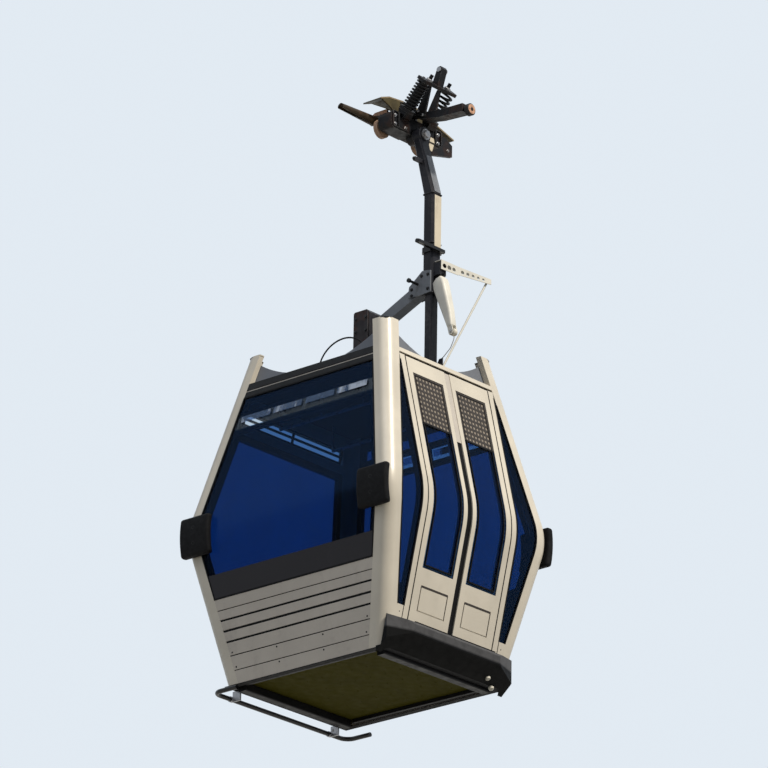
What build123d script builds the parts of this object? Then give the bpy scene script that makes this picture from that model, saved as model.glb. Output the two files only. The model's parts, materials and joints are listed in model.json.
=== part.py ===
"""Aerial ropeway cabin for eight seated people, with its hanger and detachable rope grip.

Millimetres. The origin is on the rope's axis in the middle of the grip's jaws. +X runs along the rope,
+Y from the door side to the closed side, +Z up. The cabin's own heights are counted from its lower edge.
"""
from build123d import *
import math
import os

# Cabin body
ROPE_TO_CABIN = 4257        # rope axis above the cabin's lower edge
CABIN_SIDE = 186            # cabin centre beside the rope's vertical plane
POST_TOP = 2500             # height of the corner posts
WAIST = 1117                # height of the widest line
ROOF_LINE = 2267            # top of the headers
LENGTHS = (1295, 1751, 1163)  # along X: at the lower edge, the waist and the post tops
WIDTHS = (1492, 1983, 1345)   # along Y: at the same three heights
OVERRUN = 200               # how far the outlines run on past both ends in height
WAIST_BEND = 620            # outer radius of the bend at the waist
CORNER = 78                 # outer radius of the corner posts
SHARPEST = 8                # least radius left inside a corner
WALL = 46                   # thickness of posts, panels and door leaves
SEAM = 0.4                  # play between neighbouring panels
GLAZING = 7                 # thickness of the window glass

# Faces of the corner posts
POST_ON_SIDE = 131          # seen on the door side and the closed side
POST_ON_END = 131           # seen on the two ends

# End walls
END_SKIRT_TOP = 617
END_GROOVES = (             # height, height of the slot
    (531, 7), (458, 15), (380, 17), (301, 15), (200, 8), (94, 7))
GROOVE_DEPTH = 9
END_HEADER_FOOT = 2155
END_HEADER_GROOVE = (44, 58)  # from and to above the header's foot
FRAME_RIM = 42              # how far a window frame reaches in behind the glass
BAND_TOP = 790              # top of the dark band behind the end glass
VENT_BARS = (1885, 2020)    # heights of the two bars of the vent strip
VENT_BAR = 34               # height of such a bar

# Door side
PILLAR = 59                 # door pillar beside a leaf
FOOT_STRIP = 6.5            # left between pillar and corner post at the lower edge
DOOR_HALF = LENGTHS[0] / 2 - POST_ON_SIDE - FOOT_STRIP - PILLAR  # a leaf's outer edge from the centre line
LEAF_FOOT = 222
LEAF_TOP = 2212
LEAF_PLAY = 5               # above and below a leaf
SEAL_HALF = 28              # half the width of the centre seal
INNER_STILE = 60            # a leaf's upright beside the seal
OUTER_STILE = 77            # a leaf's upright beside the pillar
LEAF_SILL = 627             # lower edge of the leaf's window
GRILLE_FOOT = 1702
GRILLE_TOP = 2080
GRILLE_HOLES = (8, 10)      # columns, rows
GRILLE_HOLE = 21            # side of a hole
RECESS = (305, 483, 8)      # plate groove of a leaf: low, high, width
HEADER_FOOT = 2234          # foot of the header's raised lip
HEADER_SETBACK = 16         # depth of the dark groove above the leaves
SIDE_SILL = 311             # lower edge of the narrow fixed windows
STEP_REACH = 80             # how far the step stands out from the wall
STEP_LENGTH = 1340
STEP_HEIGHT = 216
STEP_CHAMFER = (220, 75)    # cut of its ends, along X and Y

# Closed side
REAR_SKIRT_TOP = 283
REAR_GROOVES = ((199, 14), (123, 6), (65, 6))
REAR_HEADER_HEIGHT = 147
SLOT_HEIGHT = 105           # of the vent slot under the header
REAR_RAIL_HEIGHT = 65       # of the rail under the slot
SLOT_SETBACK = 26

# Floor, roof and benches
FLOOR_FOOT = 34
FLOOR_THICKNESS = 96
SILL_BEAM = (70, 62)        # sill beam under the floor's side edges: width, depth
SILL_BEAM_END = 40          # its ends stay back from the end walls by this
ROOF_THICKNESS = 50
ROOF_CROWN = 42
CROWN_MARGIN = 165          # flat rim around the roof's crown
SEAT_HEIGHT = 430           # top of the cushion above the floor
SEAT_DEPTH = 390
CUSHION = 70
BACK_TOP = 800
BACK_THICKNESS = 40

# Rubber pads on the end corners
PAD = 58
PAD_LOW = 940
PAD_HIGH = 1235
PAD_WIDTH = 205
PAD_INSET = 55              # from the body's widest edge
PAD_EDGE = 14

# Guide rail under the closed side
RAIL_RADIUS = 17
RAIL_REACH = 50             # rail axis out from the cabin's lower edge
RAIL_DROP = 52
RAIL_LENGTH = 1420
RAIL_BEND = 75
RAIL_RETURN = 230           # how far its ends turn in
BRACKET_INSET = 40          # brackets back from the sill beams' ends

# Hanger
HANGER_OUT = -400           # straight part beside the rope's vertical plane
HANGER_SIZE = (100, 96)     # box section along X and Y
HANGER_EDGE = 14
SWING_Z = -120              # swing axis below the rope
SWING_PIN = 26              # radius of the swing pin
SWING_Y = (-318, -246)      # the hanger's eye, from and to along Y
EYE_RADIUS = 62
LEAN_FOOT = -620            # where the hanger's upper part starts to lean
LUG = (-336, -356)          # small lug on the leaning part, along Y and Z
LUG_REACH = 135             # along -X
JOINT_Z = -1310             # where the diagonal leaves the straight part
LEG_SECTION = (78, 70, 10)  # leg under the joint: size along X and Y, corner chamfer
LEG_PLATE = (220, 50, 66, 14)  # its foot plate: length, reach out and in, thickness over the roof line
DIAGONAL_WIDTH = 84
HEAD_Y = 130                # suspension head beside the rope's vertical plane
HEAD_SIZE = (310, 150)
HEAD_TOP = -1437
COLLAR_Z = -1085            # strap around the straight part
COLLAR_BAR = 240            # its crossbar's reach along -X

# Door control on the hanger
CONTROL_Z = -1215
CONTROL_BLOCK = (60, 34)    # block on the hanger, below and above CONTROL_Z
LEVER_SLOPE = 8.3           # the door lever's fall along +X in degrees
DOOR_LEVER = (              # its outline along X and outwards from the hanger
    (-30, 6), (70, 6), (215, 70), (396, 158), (388, 186), (210, 118), (120, 100), (-30, 64))
DOOR_LEVER_THICKNESS = 14
ROD_TOP = (372, -612)       # door rod under the lever's end along X and Y
ROD_FOOT = (40, -474)       # foot of the door rod along X and Y
ROD_RADIUS = 8
ARM_ROLLER = (-610, -1742)  # roller centre along Y and Z
ARM_WHEEL = (28, 34)        # roller's radius and width
ARM_FORK = 36               # from the roller's centre to the fork's root
ARM_RADIUS = 26

# Grip
FIT = 0.06                  # radial play of a pin in its bore
ROPE_RADIUS = 22
JAW_LENGTH = 210
JAW_GAP = 6                 # between the closed jaws
JAW_REACH = 46              # moving jaw's back beyond the rope's axis
BEAM_LENGTH = 560
BEAM_Y = (-236, -112)
BEAM_Z = (-118, 14)
WHEEL_SPACING = 410
WHEEL_RADIUS = 72
WHEEL_WIDTH = 40
WHEEL_Y = -76
WHEEL_Z = -77
AXLE = 15
LEVER_PIVOT = (-150, 85)    # lever pivot along Y and Z
LEVER_PIN = 14
LEVER_WIDTH = 90
LEVER_UPPER = ((-230, 98), (-330, 40), (-500, 16))  # upper edge of the cranked arm along Y and Z
LEVER_LOWER = ((-480, -40), (-340, -14), (-282, 8), (-242, 48), (-190, 54))
LEVER_END = (-747, -42)     # roller centre along Y and Z
LEVER_TIP = (6, -58)        # upper and lower edge beside the roller
LEVER_ROLLER = (46, 42)     # radius and width
ROLLER_PIN = 14
SPRING_FOOT = (-268, 60)    # springs' lower end along Y and Z
SPRING_LEAN = 43            # degrees outward from the vertical
SPRING_LENGTH = 225
SPRING_RADIUS = 56
SPRING_SPACING = 265
YOKE = (24, 100)            # thickness and width of the crossbar over the springs
YOKE_LUG = ((-462, 219), (-413, 264), (-452, 352), (-466, 372), (-488, 372), (-502, 350))
YOKE_LUG_WIDTH = 60
YOKE_BOLT = (14, 52, 100)   # radius, height and distance from the middle
CHEEK_FOOT = ((-365, 0), (-270, 30))  # where the yoke's cheeks meet the lever
PLATE_LINE = (              # top of the friction plate along X and Z
    (-300, 126), (-210, 160), (-60, 176), (110, 172), (300, 120), (515, 60))
PLATE = 9
PLATE_Y = (-152, 20)
PLATE_WEBS = (              # upright webs under it
    ((-90, 14.4), (-100, 14.4), (-120, 40), (-200, 88), (-288, 121), (-210, 152), (-90, 168)),
    ((90, 14.4), (176, 14.4), (300, 114), (112, 165), (90, 166)))
WEB = 12
FIN = ((230, 10), (300, 40), (430, 46), (500, 5), (500, -85), (290, -138), (230, -120))
FIN_Y = (-150, -124)
GUIDE_X = (170, 570)        # rope guides along X
GUIDE_RADII = (46, 27)
GUIDE_FLANGE = 14
GUIDE_PLAY = 3              # rope guides stay clear of the rope by this

parts = {}
cabin_place = Pos(0, CABIN_SIDE, -ROPE_TO_CABIN)
FAR = 3000


def half(sizes, z):
    """Half size of the body at height z, along X with LENGTHS or along Y with WIDTHS."""
    low, waist, top = sizes
    if z < WAIST:
        return (low + (waist - low) * z / WAIST) / 2
    return (waist + (top - waist) * (z - WAIST) / (POST_TOP - WAIST)) / 2


def outline(sizes, inset):
    """Closed outline of the body seen along one axis, bent at the waist, past both ends in height."""
    low, high = -OVERRUN, POST_TOP + OVERRUN
    right = [(half(sizes, z) - inset, z) for z in (low, WAIST, high)]
    face = make_face(Polyline(*right, *[(-x, z) for x, z in reversed(right)], close=True))
    corners = [v for v in face.vertices() if abs(v.Y - WAIST) < 1]
    return fillet(corners, WAIST_BEND - inset)


def along_y(inset):
    """The outline of the two ends, as a prism along Y: |x| is limited."""
    return extrude(Plane.XZ * outline(LENGTHS, inset), FAR, both=True)


def along_x(inset):
    """The outline of the two sides, as a prism along X: |y| is limited."""
    return extrude(Plane.YZ * outline(WIDTHS, inset), FAR, both=True)


def box(x0, x1, y0, y1, z0, z1):
    """Box between two corners."""
    return Pos((x0 + x1) / 2, (y0 + y1) / 2, (z0 + z1) / 2) * Box(x1 - x0, y1 - y0, z1 - z0)


def band(z0, z1):
    """Everything between two heights."""
    return box(-FAR, FAR, -FAR, FAR, z0, z1)


def hull(inset):
    """The body's rounded outside, or the same moved in by a wall."""
    solid = along_y(inset) & along_x(inset)
    corners = [e for e in solid.edges() if abs(e.center().X) > 300 and abs(e.center().Y) > 300
               and abs(e.tangent_at(0.5).Z) > 0.9]
    return fillet(corners, max(CORNER - inset, SHARPEST))


def cut_rectangle(size_x, size_y, cut):
    """Rectangle with cut corners."""
    return chamfer(Rectangle(size_x, size_y).vertices(), cut)


def both_signs(solid, plane):
    """A solid and its mirror image as one shape of two solids."""
    return Compound(children=solid.solids() + mirror(solid, about=plane).solids())


def add(name, *shapes, place=cabin_place):
    """Name a piece, or a few like pieces that don't touch."""
    solids = [solid for shape in shapes for solid in shape.solids()]
    moved = [place * solid for solid in solids]
    parts[name] = moved[0] if len(moved) == 1 else Compound(children=moved)


outer = hull(0)
behind_glass = hull(GLAZING + SEAM)
under_glass = hull(GLAZING)
inner = hull(WALL)
wall = outer - inner
skin = outer - under_glass
lining = behind_glass - inner

side_field = along_y(POST_ON_SIDE)
end_field = along_x(POST_ON_END)
side_opening = along_y(POST_ON_SIDE + SEAM)
end_opening = along_x(POST_ON_END + SEAM)
side_sight = along_y(POST_ON_SIDE + FRAME_RIM)
end_sight = along_x(POST_ON_END + FRAME_RIM)

toward = {"end_a": box(-FAR, 0, -FAR, FAR, -FAR, FAR), "end_b": box(0, FAR, -FAR, FAR, -FAR, FAR),
          "door": box(-FAR, FAR, -FAR, 0, -FAR, FAR), "rear": box(-FAR, FAR, 0, FAR, -FAR, FAR)}


def corner_posts():
    """Four bent extrusions that carry the cabin and stand up past the roof."""
    add("corner_posts", (wall - side_field - end_field) & band(0, POST_TOP))


def end_walls():
    """Grooved skirt, window frame, glass and header of both ends."""
    skirts = wall & end_opening & band(0, END_SKIRT_TOP - SEAM)
    shallow = outer - hull(GROOVE_DEPTH)
    for height, tall in END_GROOVES:
        skirts -= shallow & band(height - tall / 2, height + tall / 2)
    frames = lining & end_opening & band(END_SKIRT_TOP, END_HEADER_FOOT - SEAM)
    low, high = BAND_TOP, END_HEADER_FOOT - FRAME_RIM
    bars = [band(z - VENT_BAR / 2, z + VENT_BAR / 2) for z in VENT_BARS]
    mullion = box(-FAR, FAR, -VENT_BAR / 2, VENT_BAR / 2, *VENT_BARS)
    frames -= (end_sight & band(low, high)) - bars[0] - bars[1] - mullion
    glass = skin & end_opening & band(END_SKIRT_TOP, END_HEADER_FOOT - SEAM)
    headers = wall & end_opening & band(END_HEADER_FOOT, ROOF_LINE)
    lip = shallow & band(*[END_HEADER_FOOT + rise for rise in END_HEADER_GROOVE])
    for name, solid in (("end_skirts", skirts), ("end_frames", frames), ("end_windows", glass),
                        ("end_headers", headers - lip)):
        add(name, solid & toward["end_a"], solid & toward["end_b"])


def door_side():
    """Header, pillars, narrow windows, corner panels and the two leaves between them."""
    door = toward["door"]
    groove = (hull(HEADER_SETBACK) - inner) & band(LEAF_TOP + LEAF_PLAY, HEADER_FOOT)
    add("door_header", (groove + (wall & band(HEADER_FOOT, ROOF_LINE))) & side_opening & door)
    low, top = LEAF_FOOT, LEAF_TOP + LEAF_PLAY - SEAM
    pillar_in, pillar_out = DOOR_HALF + SEAM, DOOR_HALF + PILLAR
    pillar = box(pillar_in, pillar_out, -FAR, 0, 0, top)
    add("door_pillars", both_signs(wall & side_opening & pillar, Plane.YZ))
    beside = box(pillar_out + SEAM, FAR, -FAR, 0, 0, FAR)
    add("side_windows", both_signs(skin & side_opening & beside & band(SIDE_SILL, top), Plane.YZ))
    sight = along_y(POST_ON_SIDE + 22) & box(pillar_out + 22, FAR, -FAR, 0, SIDE_SILL + 22, top - 60)
    add("side_window_frames",
        both_signs((lining & side_opening & beside & band(SIDE_SILL, top)) - sight, Plane.YZ))
    add("side_corner_panels",
        both_signs(wall & side_opening & beside & band(0, SIDE_SILL - SEAM), Plane.YZ))
    leaf_in = SEAL_HALF
    x0, x1 = leaf_in + INNER_STILE, DOOR_HALF - OUTER_STILE
    window = box(x0, x1, -FAR, 0, LEAF_SILL, GRILLE_TOP)
    rebate = box(x0 - 20, x1 + 20, -FAR, 0, LEAF_SILL - 20, GRILLE_TOP + 16)
    sheet = outer - hull(GLAZING + 3)
    leaf = (outer - hull(WALL - 4)) & box(leaf_in, DOOR_HALF - SEAM, -FAR, 0, low, LEAF_TOP)
    recess_low, recess_high, recess_width = RECESS
    plate = box(x0, x1, -FAR, 0, recess_low, recess_high)
    groove = plate - box(x0 + recess_width, x1 - recess_width, -FAR, 0,
                         recess_low + recess_width, recess_high - recess_width)
    leaf -= groove & (outer - hull(5))
    leaf -= window
    leaf -= rebate & sheet
    fill = box(x0 - 20 + SEAM, x1 + 20 - SEAM, -FAR, 0, LEAF_SILL - 20 + SEAM, GRILLE_TOP + 16 - SEAM)
    pane = (hull(3) - hull(3 + GLAZING)) & fill
    add("door_leaf_b", leaf)
    add("door_leaf_a", mirror(leaf, about=Plane.YZ))
    add("door_glass", both_signs(pane & band(0, GRILLE_FOOT - SEAM / 2), Plane.YZ))
    add("door_grilles", both_signs(grille(pane & band(GRILLE_FOOT + SEAM / 2, FAR), x0, x1), Plane.YZ))
    between = box(-leaf_in + SEAM, leaf_in - SEAM, -FAR, 0, low, LEAF_TOP)
    add("door_seal", (hull(10) - hull(WALL - 4)) & between)
    add("door_sill", wall & box(-DOOR_HALF, DOOR_HALF, -FAR, 0, 0, low - LEAF_PLAY))


def grille(panel, x0, x1):
    """Vent panel perforated with a grid of square holes between two uprights."""
    columns, rows = GRILLE_HOLES
    across, up = (x1 - x0) / columns, (GRILLE_TOP - GRILLE_FOOT) / rows
    edge = GRILLE_HOLE / 2
    holes = []
    for x in [x0 + across * (i + 0.5) for i in range(columns)]:
        for z in [GRILLE_FOOT + up * (i + 0.5) for i in range(rows)]:
            holes.append(box(x - edge, x + edge, -FAR, 0, z - edge, z + edge))
    return panel - Compound(children=holes)


def door_step():
    """Dark step along the foot of the door side, with chamfered ends."""
    wide = half(WIDTHS, STEP_HEIGHT)
    foot = half(WIDTHS, 0)
    out = -wide - STEP_REACH
    section = Plane.YZ * make_face(Polyline(
        (-wide - SEAM, STEP_HEIGHT), (-wide - STEP_REACH * 0.8, STEP_HEIGHT - 18), (out, STEP_HEIGHT - 40),
        (out + 6, STEP_HEIGHT - 106), (-foot - 40, 30), (-foot + 40, -38), (-foot + WALL, -SEAM),
        (-foot - SEAM, -SEAM), close=True))
    end = STEP_LENGTH / 2
    step = extrude(section, end, both=True)
    corner = Plane.XY * make_face(Polyline(
        (end - STEP_CHAMFER[0], out - 1), (end + 1, out - 1), (end + 1, out + STEP_CHAMFER[1]), close=True))
    cut = extrude(corner, FAR, both=True)
    step = step - cut - mirror(cut, about=Plane.YZ) - hull(-SEAM)
    add("door_step", max(step.solids(), key=lambda s: s.volume))


def rear_side():
    """Header, vent slot, rail, large window and grooved skirt of the closed side."""
    rear = toward["rear"]
    shallow = outer - hull(GROOVE_DEPTH)
    skirt = wall & side_opening & rear & band(0, REAR_SKIRT_TOP - SEAM)
    for height, tall in REAR_GROOVES:
        skirt -= shallow & band(height - tall / 2, height + tall / 2)
    add("rear_skirt", skirt)
    slot_top = ROOF_LINE - REAR_HEADER_HEIGHT
    slot_foot = slot_top - SLOT_HEIGHT
    rail_foot = slot_foot - REAR_RAIL_HEIGHT
    low, high = REAR_SKIRT_TOP, rail_foot - SEAM
    sight = side_sight & band(low + FRAME_RIM, high - FRAME_RIM)
    add("rear_frame", (lining & side_opening & rear & band(low, high)) - sight)
    add("rear_window", skin & side_opening & rear & band(low, high))
    add("rear_rail", wall & side_opening & rear & band(rail_foot, slot_foot))
    add("rear_vent", (hull(SLOT_SETBACK) - inner) & side_opening & rear
        & band(slot_foot + SEAM, slot_top - SEAM))
    add("rear_header", wall & side_opening & rear & band(slot_top, ROOF_LINE))


def floor_and_roof():
    """Floor pan, sill beams and domed roof panel."""
    inside = hull(WALL + SEAM)
    add("floor", inside & band(FLOOR_FOOT, FLOOR_FOOT + FLOOR_THICKNESS))
    width, depth = SILL_BEAM
    edge = half(WIDTHS, 0) - WALL - 12
    length = half(LENGTHS, 0) - WALL - SILL_BEAM_END
    beam = box(-length, length, edge - width, edge, FLOOR_FOOT - SEAM - depth, FLOOR_FOOT - SEAM)
    add("sill_beams", both_signs(fillet(beam.edges().filter_by(Axis.X), 8), Plane.XZ))
    slab = inside & band(ROOF_LINE - ROOF_THICKNESS, ROOF_LINE - 6)
    x = half(LENGTHS, ROOF_LINE) - WALL - CROWN_MARGIN
    y = half(WIDTHS, ROOF_LINE) - WALL - CROWN_MARGIN
    crown = loft([Plane.XY.offset(ROOF_LINE - 8) * RectangleRounded(2 * x, 2 * y, 60),
                  Plane.XY.offset(ROOF_LINE + ROOF_CROWN) * RectangleRounded(2 * x - 180, 2 * y - 180, 50)])
    add("roof_panel", slab + crown)


def benches():
    """A bench with a cushion and a low back at each end."""
    floor = FLOOR_FOOT + FLOOR_THICKNESS
    top = floor + SEAT_HEIGHT
    reach = half(LENGTHS, top) - WALL - 30
    across = half(WIDTHS, floor + 120) - WALL - 60
    seat = box(reach - SEAT_DEPTH, reach, -across, across, top - CUSHION, top)
    seat = chamfer(seat.edges(), 14)
    base_x = half(LENGTHS, floor) - WALL - 40
    base = box(base_x - SEAT_DEPTH + 110, base_x, -across + 80, across - 80,
               floor + SEAM, top - CUSHION - SEAM)
    toe = box(base_x - SEAT_DEPTH, base_x - SEAT_DEPTH + 170, -FAR, FAR, floor, floor + 110)
    shell = hull(WALL + SEAM) - hull(WALL + SEAM + BACK_THICKNESS)
    back = shell & box(0, FAR, -across, across, top + 14, BACK_TOP)
    add("seat_cushion_b", seat)
    add("seat_cushion_a", mirror(seat, about=Plane.YZ))
    add("seat_bases", both_signs(base - toe, Plane.YZ))
    add("seat_backs", both_signs(back, Plane.YZ))


def bumper_pads():
    """Thick rubber pads at the waist on both ends."""
    layer = along_y(-PAD) - along_y(-SEAM)
    edge = half(WIDTHS, WAIST) - PAD_INSET
    pad = layer & box(0, FAR, edge - PAD_WIDTH, edge, PAD_LOW, PAD_HIGH)
    front = [e for e in pad.edges() if e.center().X > half(LENGTHS, WAIST) + PAD * 0.5]
    pad = chamfer(front, PAD_EDGE)
    pads = both_signs(pad, Plane.XZ)
    add("bumper_pads", pads, mirror(pads, about=Plane.YZ))


def guide_rail():
    """Round rail that stands off below the closed side, its ends turned in under the floor."""
    y, z = half(WIDTHS, 0) + RAIL_REACH, -RAIL_DROP
    end = RAIL_LENGTH / 2
    inward = y - RAIL_RETURN
    path = FilletPolyline((-end, inward, z), (-end, y, z), (end, y, z), (end, inward, z), radius=RAIL_BEND)
    rail = sweep(Plane(origin=(-end, inward, z), z_dir=(0, 1, 0)) * Circle(RAIL_RADIUS), path=path)
    add("guide_rail", rail)
    x = half(LENGTHS, 0) - WALL - SILL_BEAM_END - BRACKET_INSET
    plate = box(x - 5, x + 5, half(WIDTHS, 0) - WALL + 4, y - RAIL_RADIUS - SEAM, -RAIL_DROP - 24, -SEAM)
    add("guide_rail_brackets", both_signs(plate, Plane.YZ))


def hanger():
    """Box-section hanger: an eye on the swing pin, a leaning part, a straight part and a diagonal."""
    sx, sy = HANGER_SIZE
    eye_y = (SWING_Y[0] + SWING_Y[1]) / 2
    neck = SWING_Z - EYE_RADIUS * 0.6
    eye_wide = SWING_Y[1] - SWING_Y[0]
    upper = loft([Plane.XY.offset(LEAN_FOOT) * Pos(0, HANGER_OUT) * cut_rectangle(sx, sy, HANGER_EDGE),
                  Plane.XY.offset(neck) * Pos(0, eye_y) * cut_rectangle(sx, eye_wide - 2, 12)])
    straight = extrude(Plane.XY.offset(JOINT_Z - 100) * Pos(0, HANGER_OUT)
                       * cut_rectangle(sx, sy, HANGER_EDGE), LEAN_FOOT - JOINT_Z + 100)
    lug = box(-LUG_REACH, 0, LUG[0] - 12, LUG[0] + 12, LUG[1] - 14, LUG[1] + 14)
    eye = Pos(0, eye_y, SWING_Z) * Rot(90, 0, 0) * Cylinder(EYE_RADIUS, eye_wide)
    bore = Pos(0, eye_y, SWING_Z) * Rot(90, 0, 0) * Cylinder(SWING_PIN + FIT, 400)
    add("hanger_tube", upper + straight + lug + eye - bore, place=Pos(0, 0, 0))
    foot = (HEAD_Y - HEAD_SIZE[1] / 2 - SEAM, HEAD_TOP - 70)
    start = (HANGER_OUT + sy / 2 + SEAM, JOINT_Z)
    arm = Plane.YZ * make_face(Polyline(
        (start[0], start[1] + 30), (foot[0], foot[1] + 43), (foot[0], foot[1] - 43),
        (start[0], start[1] - 65), close=True))
    add("hanger_diagonal", extrude(arm, DIAGONAL_WIDTH / 2, both=True), place=Pos(0, 0, 0))
    roof = ROOF_LINE - ROPE_TO_CABIN
    leg = extrude(Plane.XY.offset(roof) * Pos(0, HANGER_OUT) * cut_rectangle(*LEG_SECTION),
                  JOINT_Z - 100 - SEAM - roof)
    long, out, inwards, high = LEG_PLATE
    plate = box(-long / 2, long / 2, HANGER_OUT - out, HANGER_OUT + inwards, roof - 6 + SEAM, roof + high)
    add("hanger_leg", leg + plate, place=Pos(0, 0, 0))
    head = box(-HEAD_SIZE[0] / 2, HEAD_SIZE[0] / 2, HEAD_Y - HEAD_SIZE[1] / 2, HEAD_Y + HEAD_SIZE[1] / 2,
               roof + ROOF_CROWN + SEAM, HEAD_TOP)
    shoulders = head.edges().filter_by(Axis.X).group_by(Axis.Z)[-1]
    add("suspension_head", chamfer(shoulders, 26), place=Pos(0, 0, 0))
    level = Plane.XY.offset(COLLAR_Z) * Pos(0, HANGER_OUT)
    ring = extrude(level * cut_rectangle(sx + 24, sy + 24, HANGER_EDGE + 8), 40)
    hole = extrude(level * cut_rectangle(sx + 2 * SEAM, sy + 2 * SEAM, HANGER_EDGE), 40)
    face = HANGER_OUT - sy / 2 - 12
    bar = box(-COLLAR_BAR, 50, face - 24, face + 6, COLLAR_Z + 2, COLLAR_Z + 26)
    add("hanger_collars", ring + bar - hole, place=Pos(0, 0, 0))


def door_control():
    """Door lever with its rod, and the forked arm whose roller a station rail pushes."""
    y = HANGER_OUT - HANGER_SIZE[1] / 2 - SEAM
    low, high = CONTROL_Z - CONTROL_BLOCK[0], CONTROL_Z + CONTROL_BLOCK[1]
    add("control_bracket", box(-34, 34, y - 60, y, low, high), place=Pos(0, 0, 0))
    fall = math.radians(LEVER_SLOPE)
    rise = 34 * math.tan(fall) + SEAM
    sloped = Plane(origin=(0, 0, high + rise), x_dir=(math.cos(fall), 0, -math.sin(fall)),
                   z_dir=(math.sin(fall), 0, math.cos(fall)))
    lever = sloped * make_face(Polyline(*[(x, y - out) for x, out in DOOR_LEVER], close=True))
    add("door_lever", extrude(lever, DOOR_LEVER_THICKNESS), place=Pos(0, 0, 0))
    foot = ROOF_LINE - ROPE_TO_CABIN + SEAM
    top = high + rise - ROD_TOP[0] * math.tan(fall) - 3
    rod = Line((*ROD_TOP, top), (*ROD_FOOT, foot + 12))
    rod_solid = sweep(Plane(origin=rod @ 0, z_dir=rod % 0) * Circle(ROD_RADIUS), path=rod)
    boss = Pos(ROD_FOOT[0], ROD_FOOT[1], foot + 14) * Cylinder(ROD_RADIUS + 7, 28)
    add("door_rod", (rod_solid + boss) & box(-FAR, FAR, -FAR, FAR, foot, high), place=Pos(0, 0, 0))
    hub = Vector(0, *ARM_ROLLER)
    start = Vector(0, y - 30, low)
    along = Plane(origin=hub, x_dir=(1, 0, 0), z_dir=start - hub)
    on_foot = (Align.CENTER, Align.CENTER, Align.MIN)
    tube = Pos(0, 0, ARM_FORK) * Cylinder(ARM_RADIUS, (start - hub).length, align=on_foot)
    gap = ARM_WHEEL[1] / 2 + 2
    cheeks = [Pos(x, 0, ARM_FORK / 2) * Box(7, 36, ARM_FORK + 30) for x in (-gap - 3.5, gap + 3.5)]
    fork = tube + cheeks + Pos(0, 0, ARM_FORK + 8) * Box(2 * gap + 14, 36, 16)
    fork += pin_along("X", 8, 2 * gap + 24, 0, 0, 0)
    below = box(-FAR, FAR, -FAR, FAR, -FAR, low - SEAM)
    add("roller_arm", (along.location * fork) & below, place=Pos(0, 0, 0))
    wheel = pin_along("X", *ARM_WHEEL, 0, *ARM_ROLLER) - pin_along("X", 8 + FIT, 100, 0, *ARM_ROLLER)
    add("arm_roller", wheel, place=Pos(0, 0, 0))


def tilted(distance, x=0):
    """A plane square to the springs' axis, this far up from their feet."""
    lean = math.radians(SPRING_LEAN)
    y, z = SPRING_FOOT
    return Plane(origin=(x, y - distance * math.sin(lean), z + distance * math.cos(lean)),
                 x_dir=(1, 0, 0), z_dir=(0, -math.sin(lean), math.cos(lean)))


def pin_along(axis, radius, length, *at):
    """Round pin along X or Y, centred at a point."""
    turn = Rot(0, 90, 0) if axis == "X" else Rot(90, 0, 0)
    return Pos(*at) * turn * Cylinder(radius, length)


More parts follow.
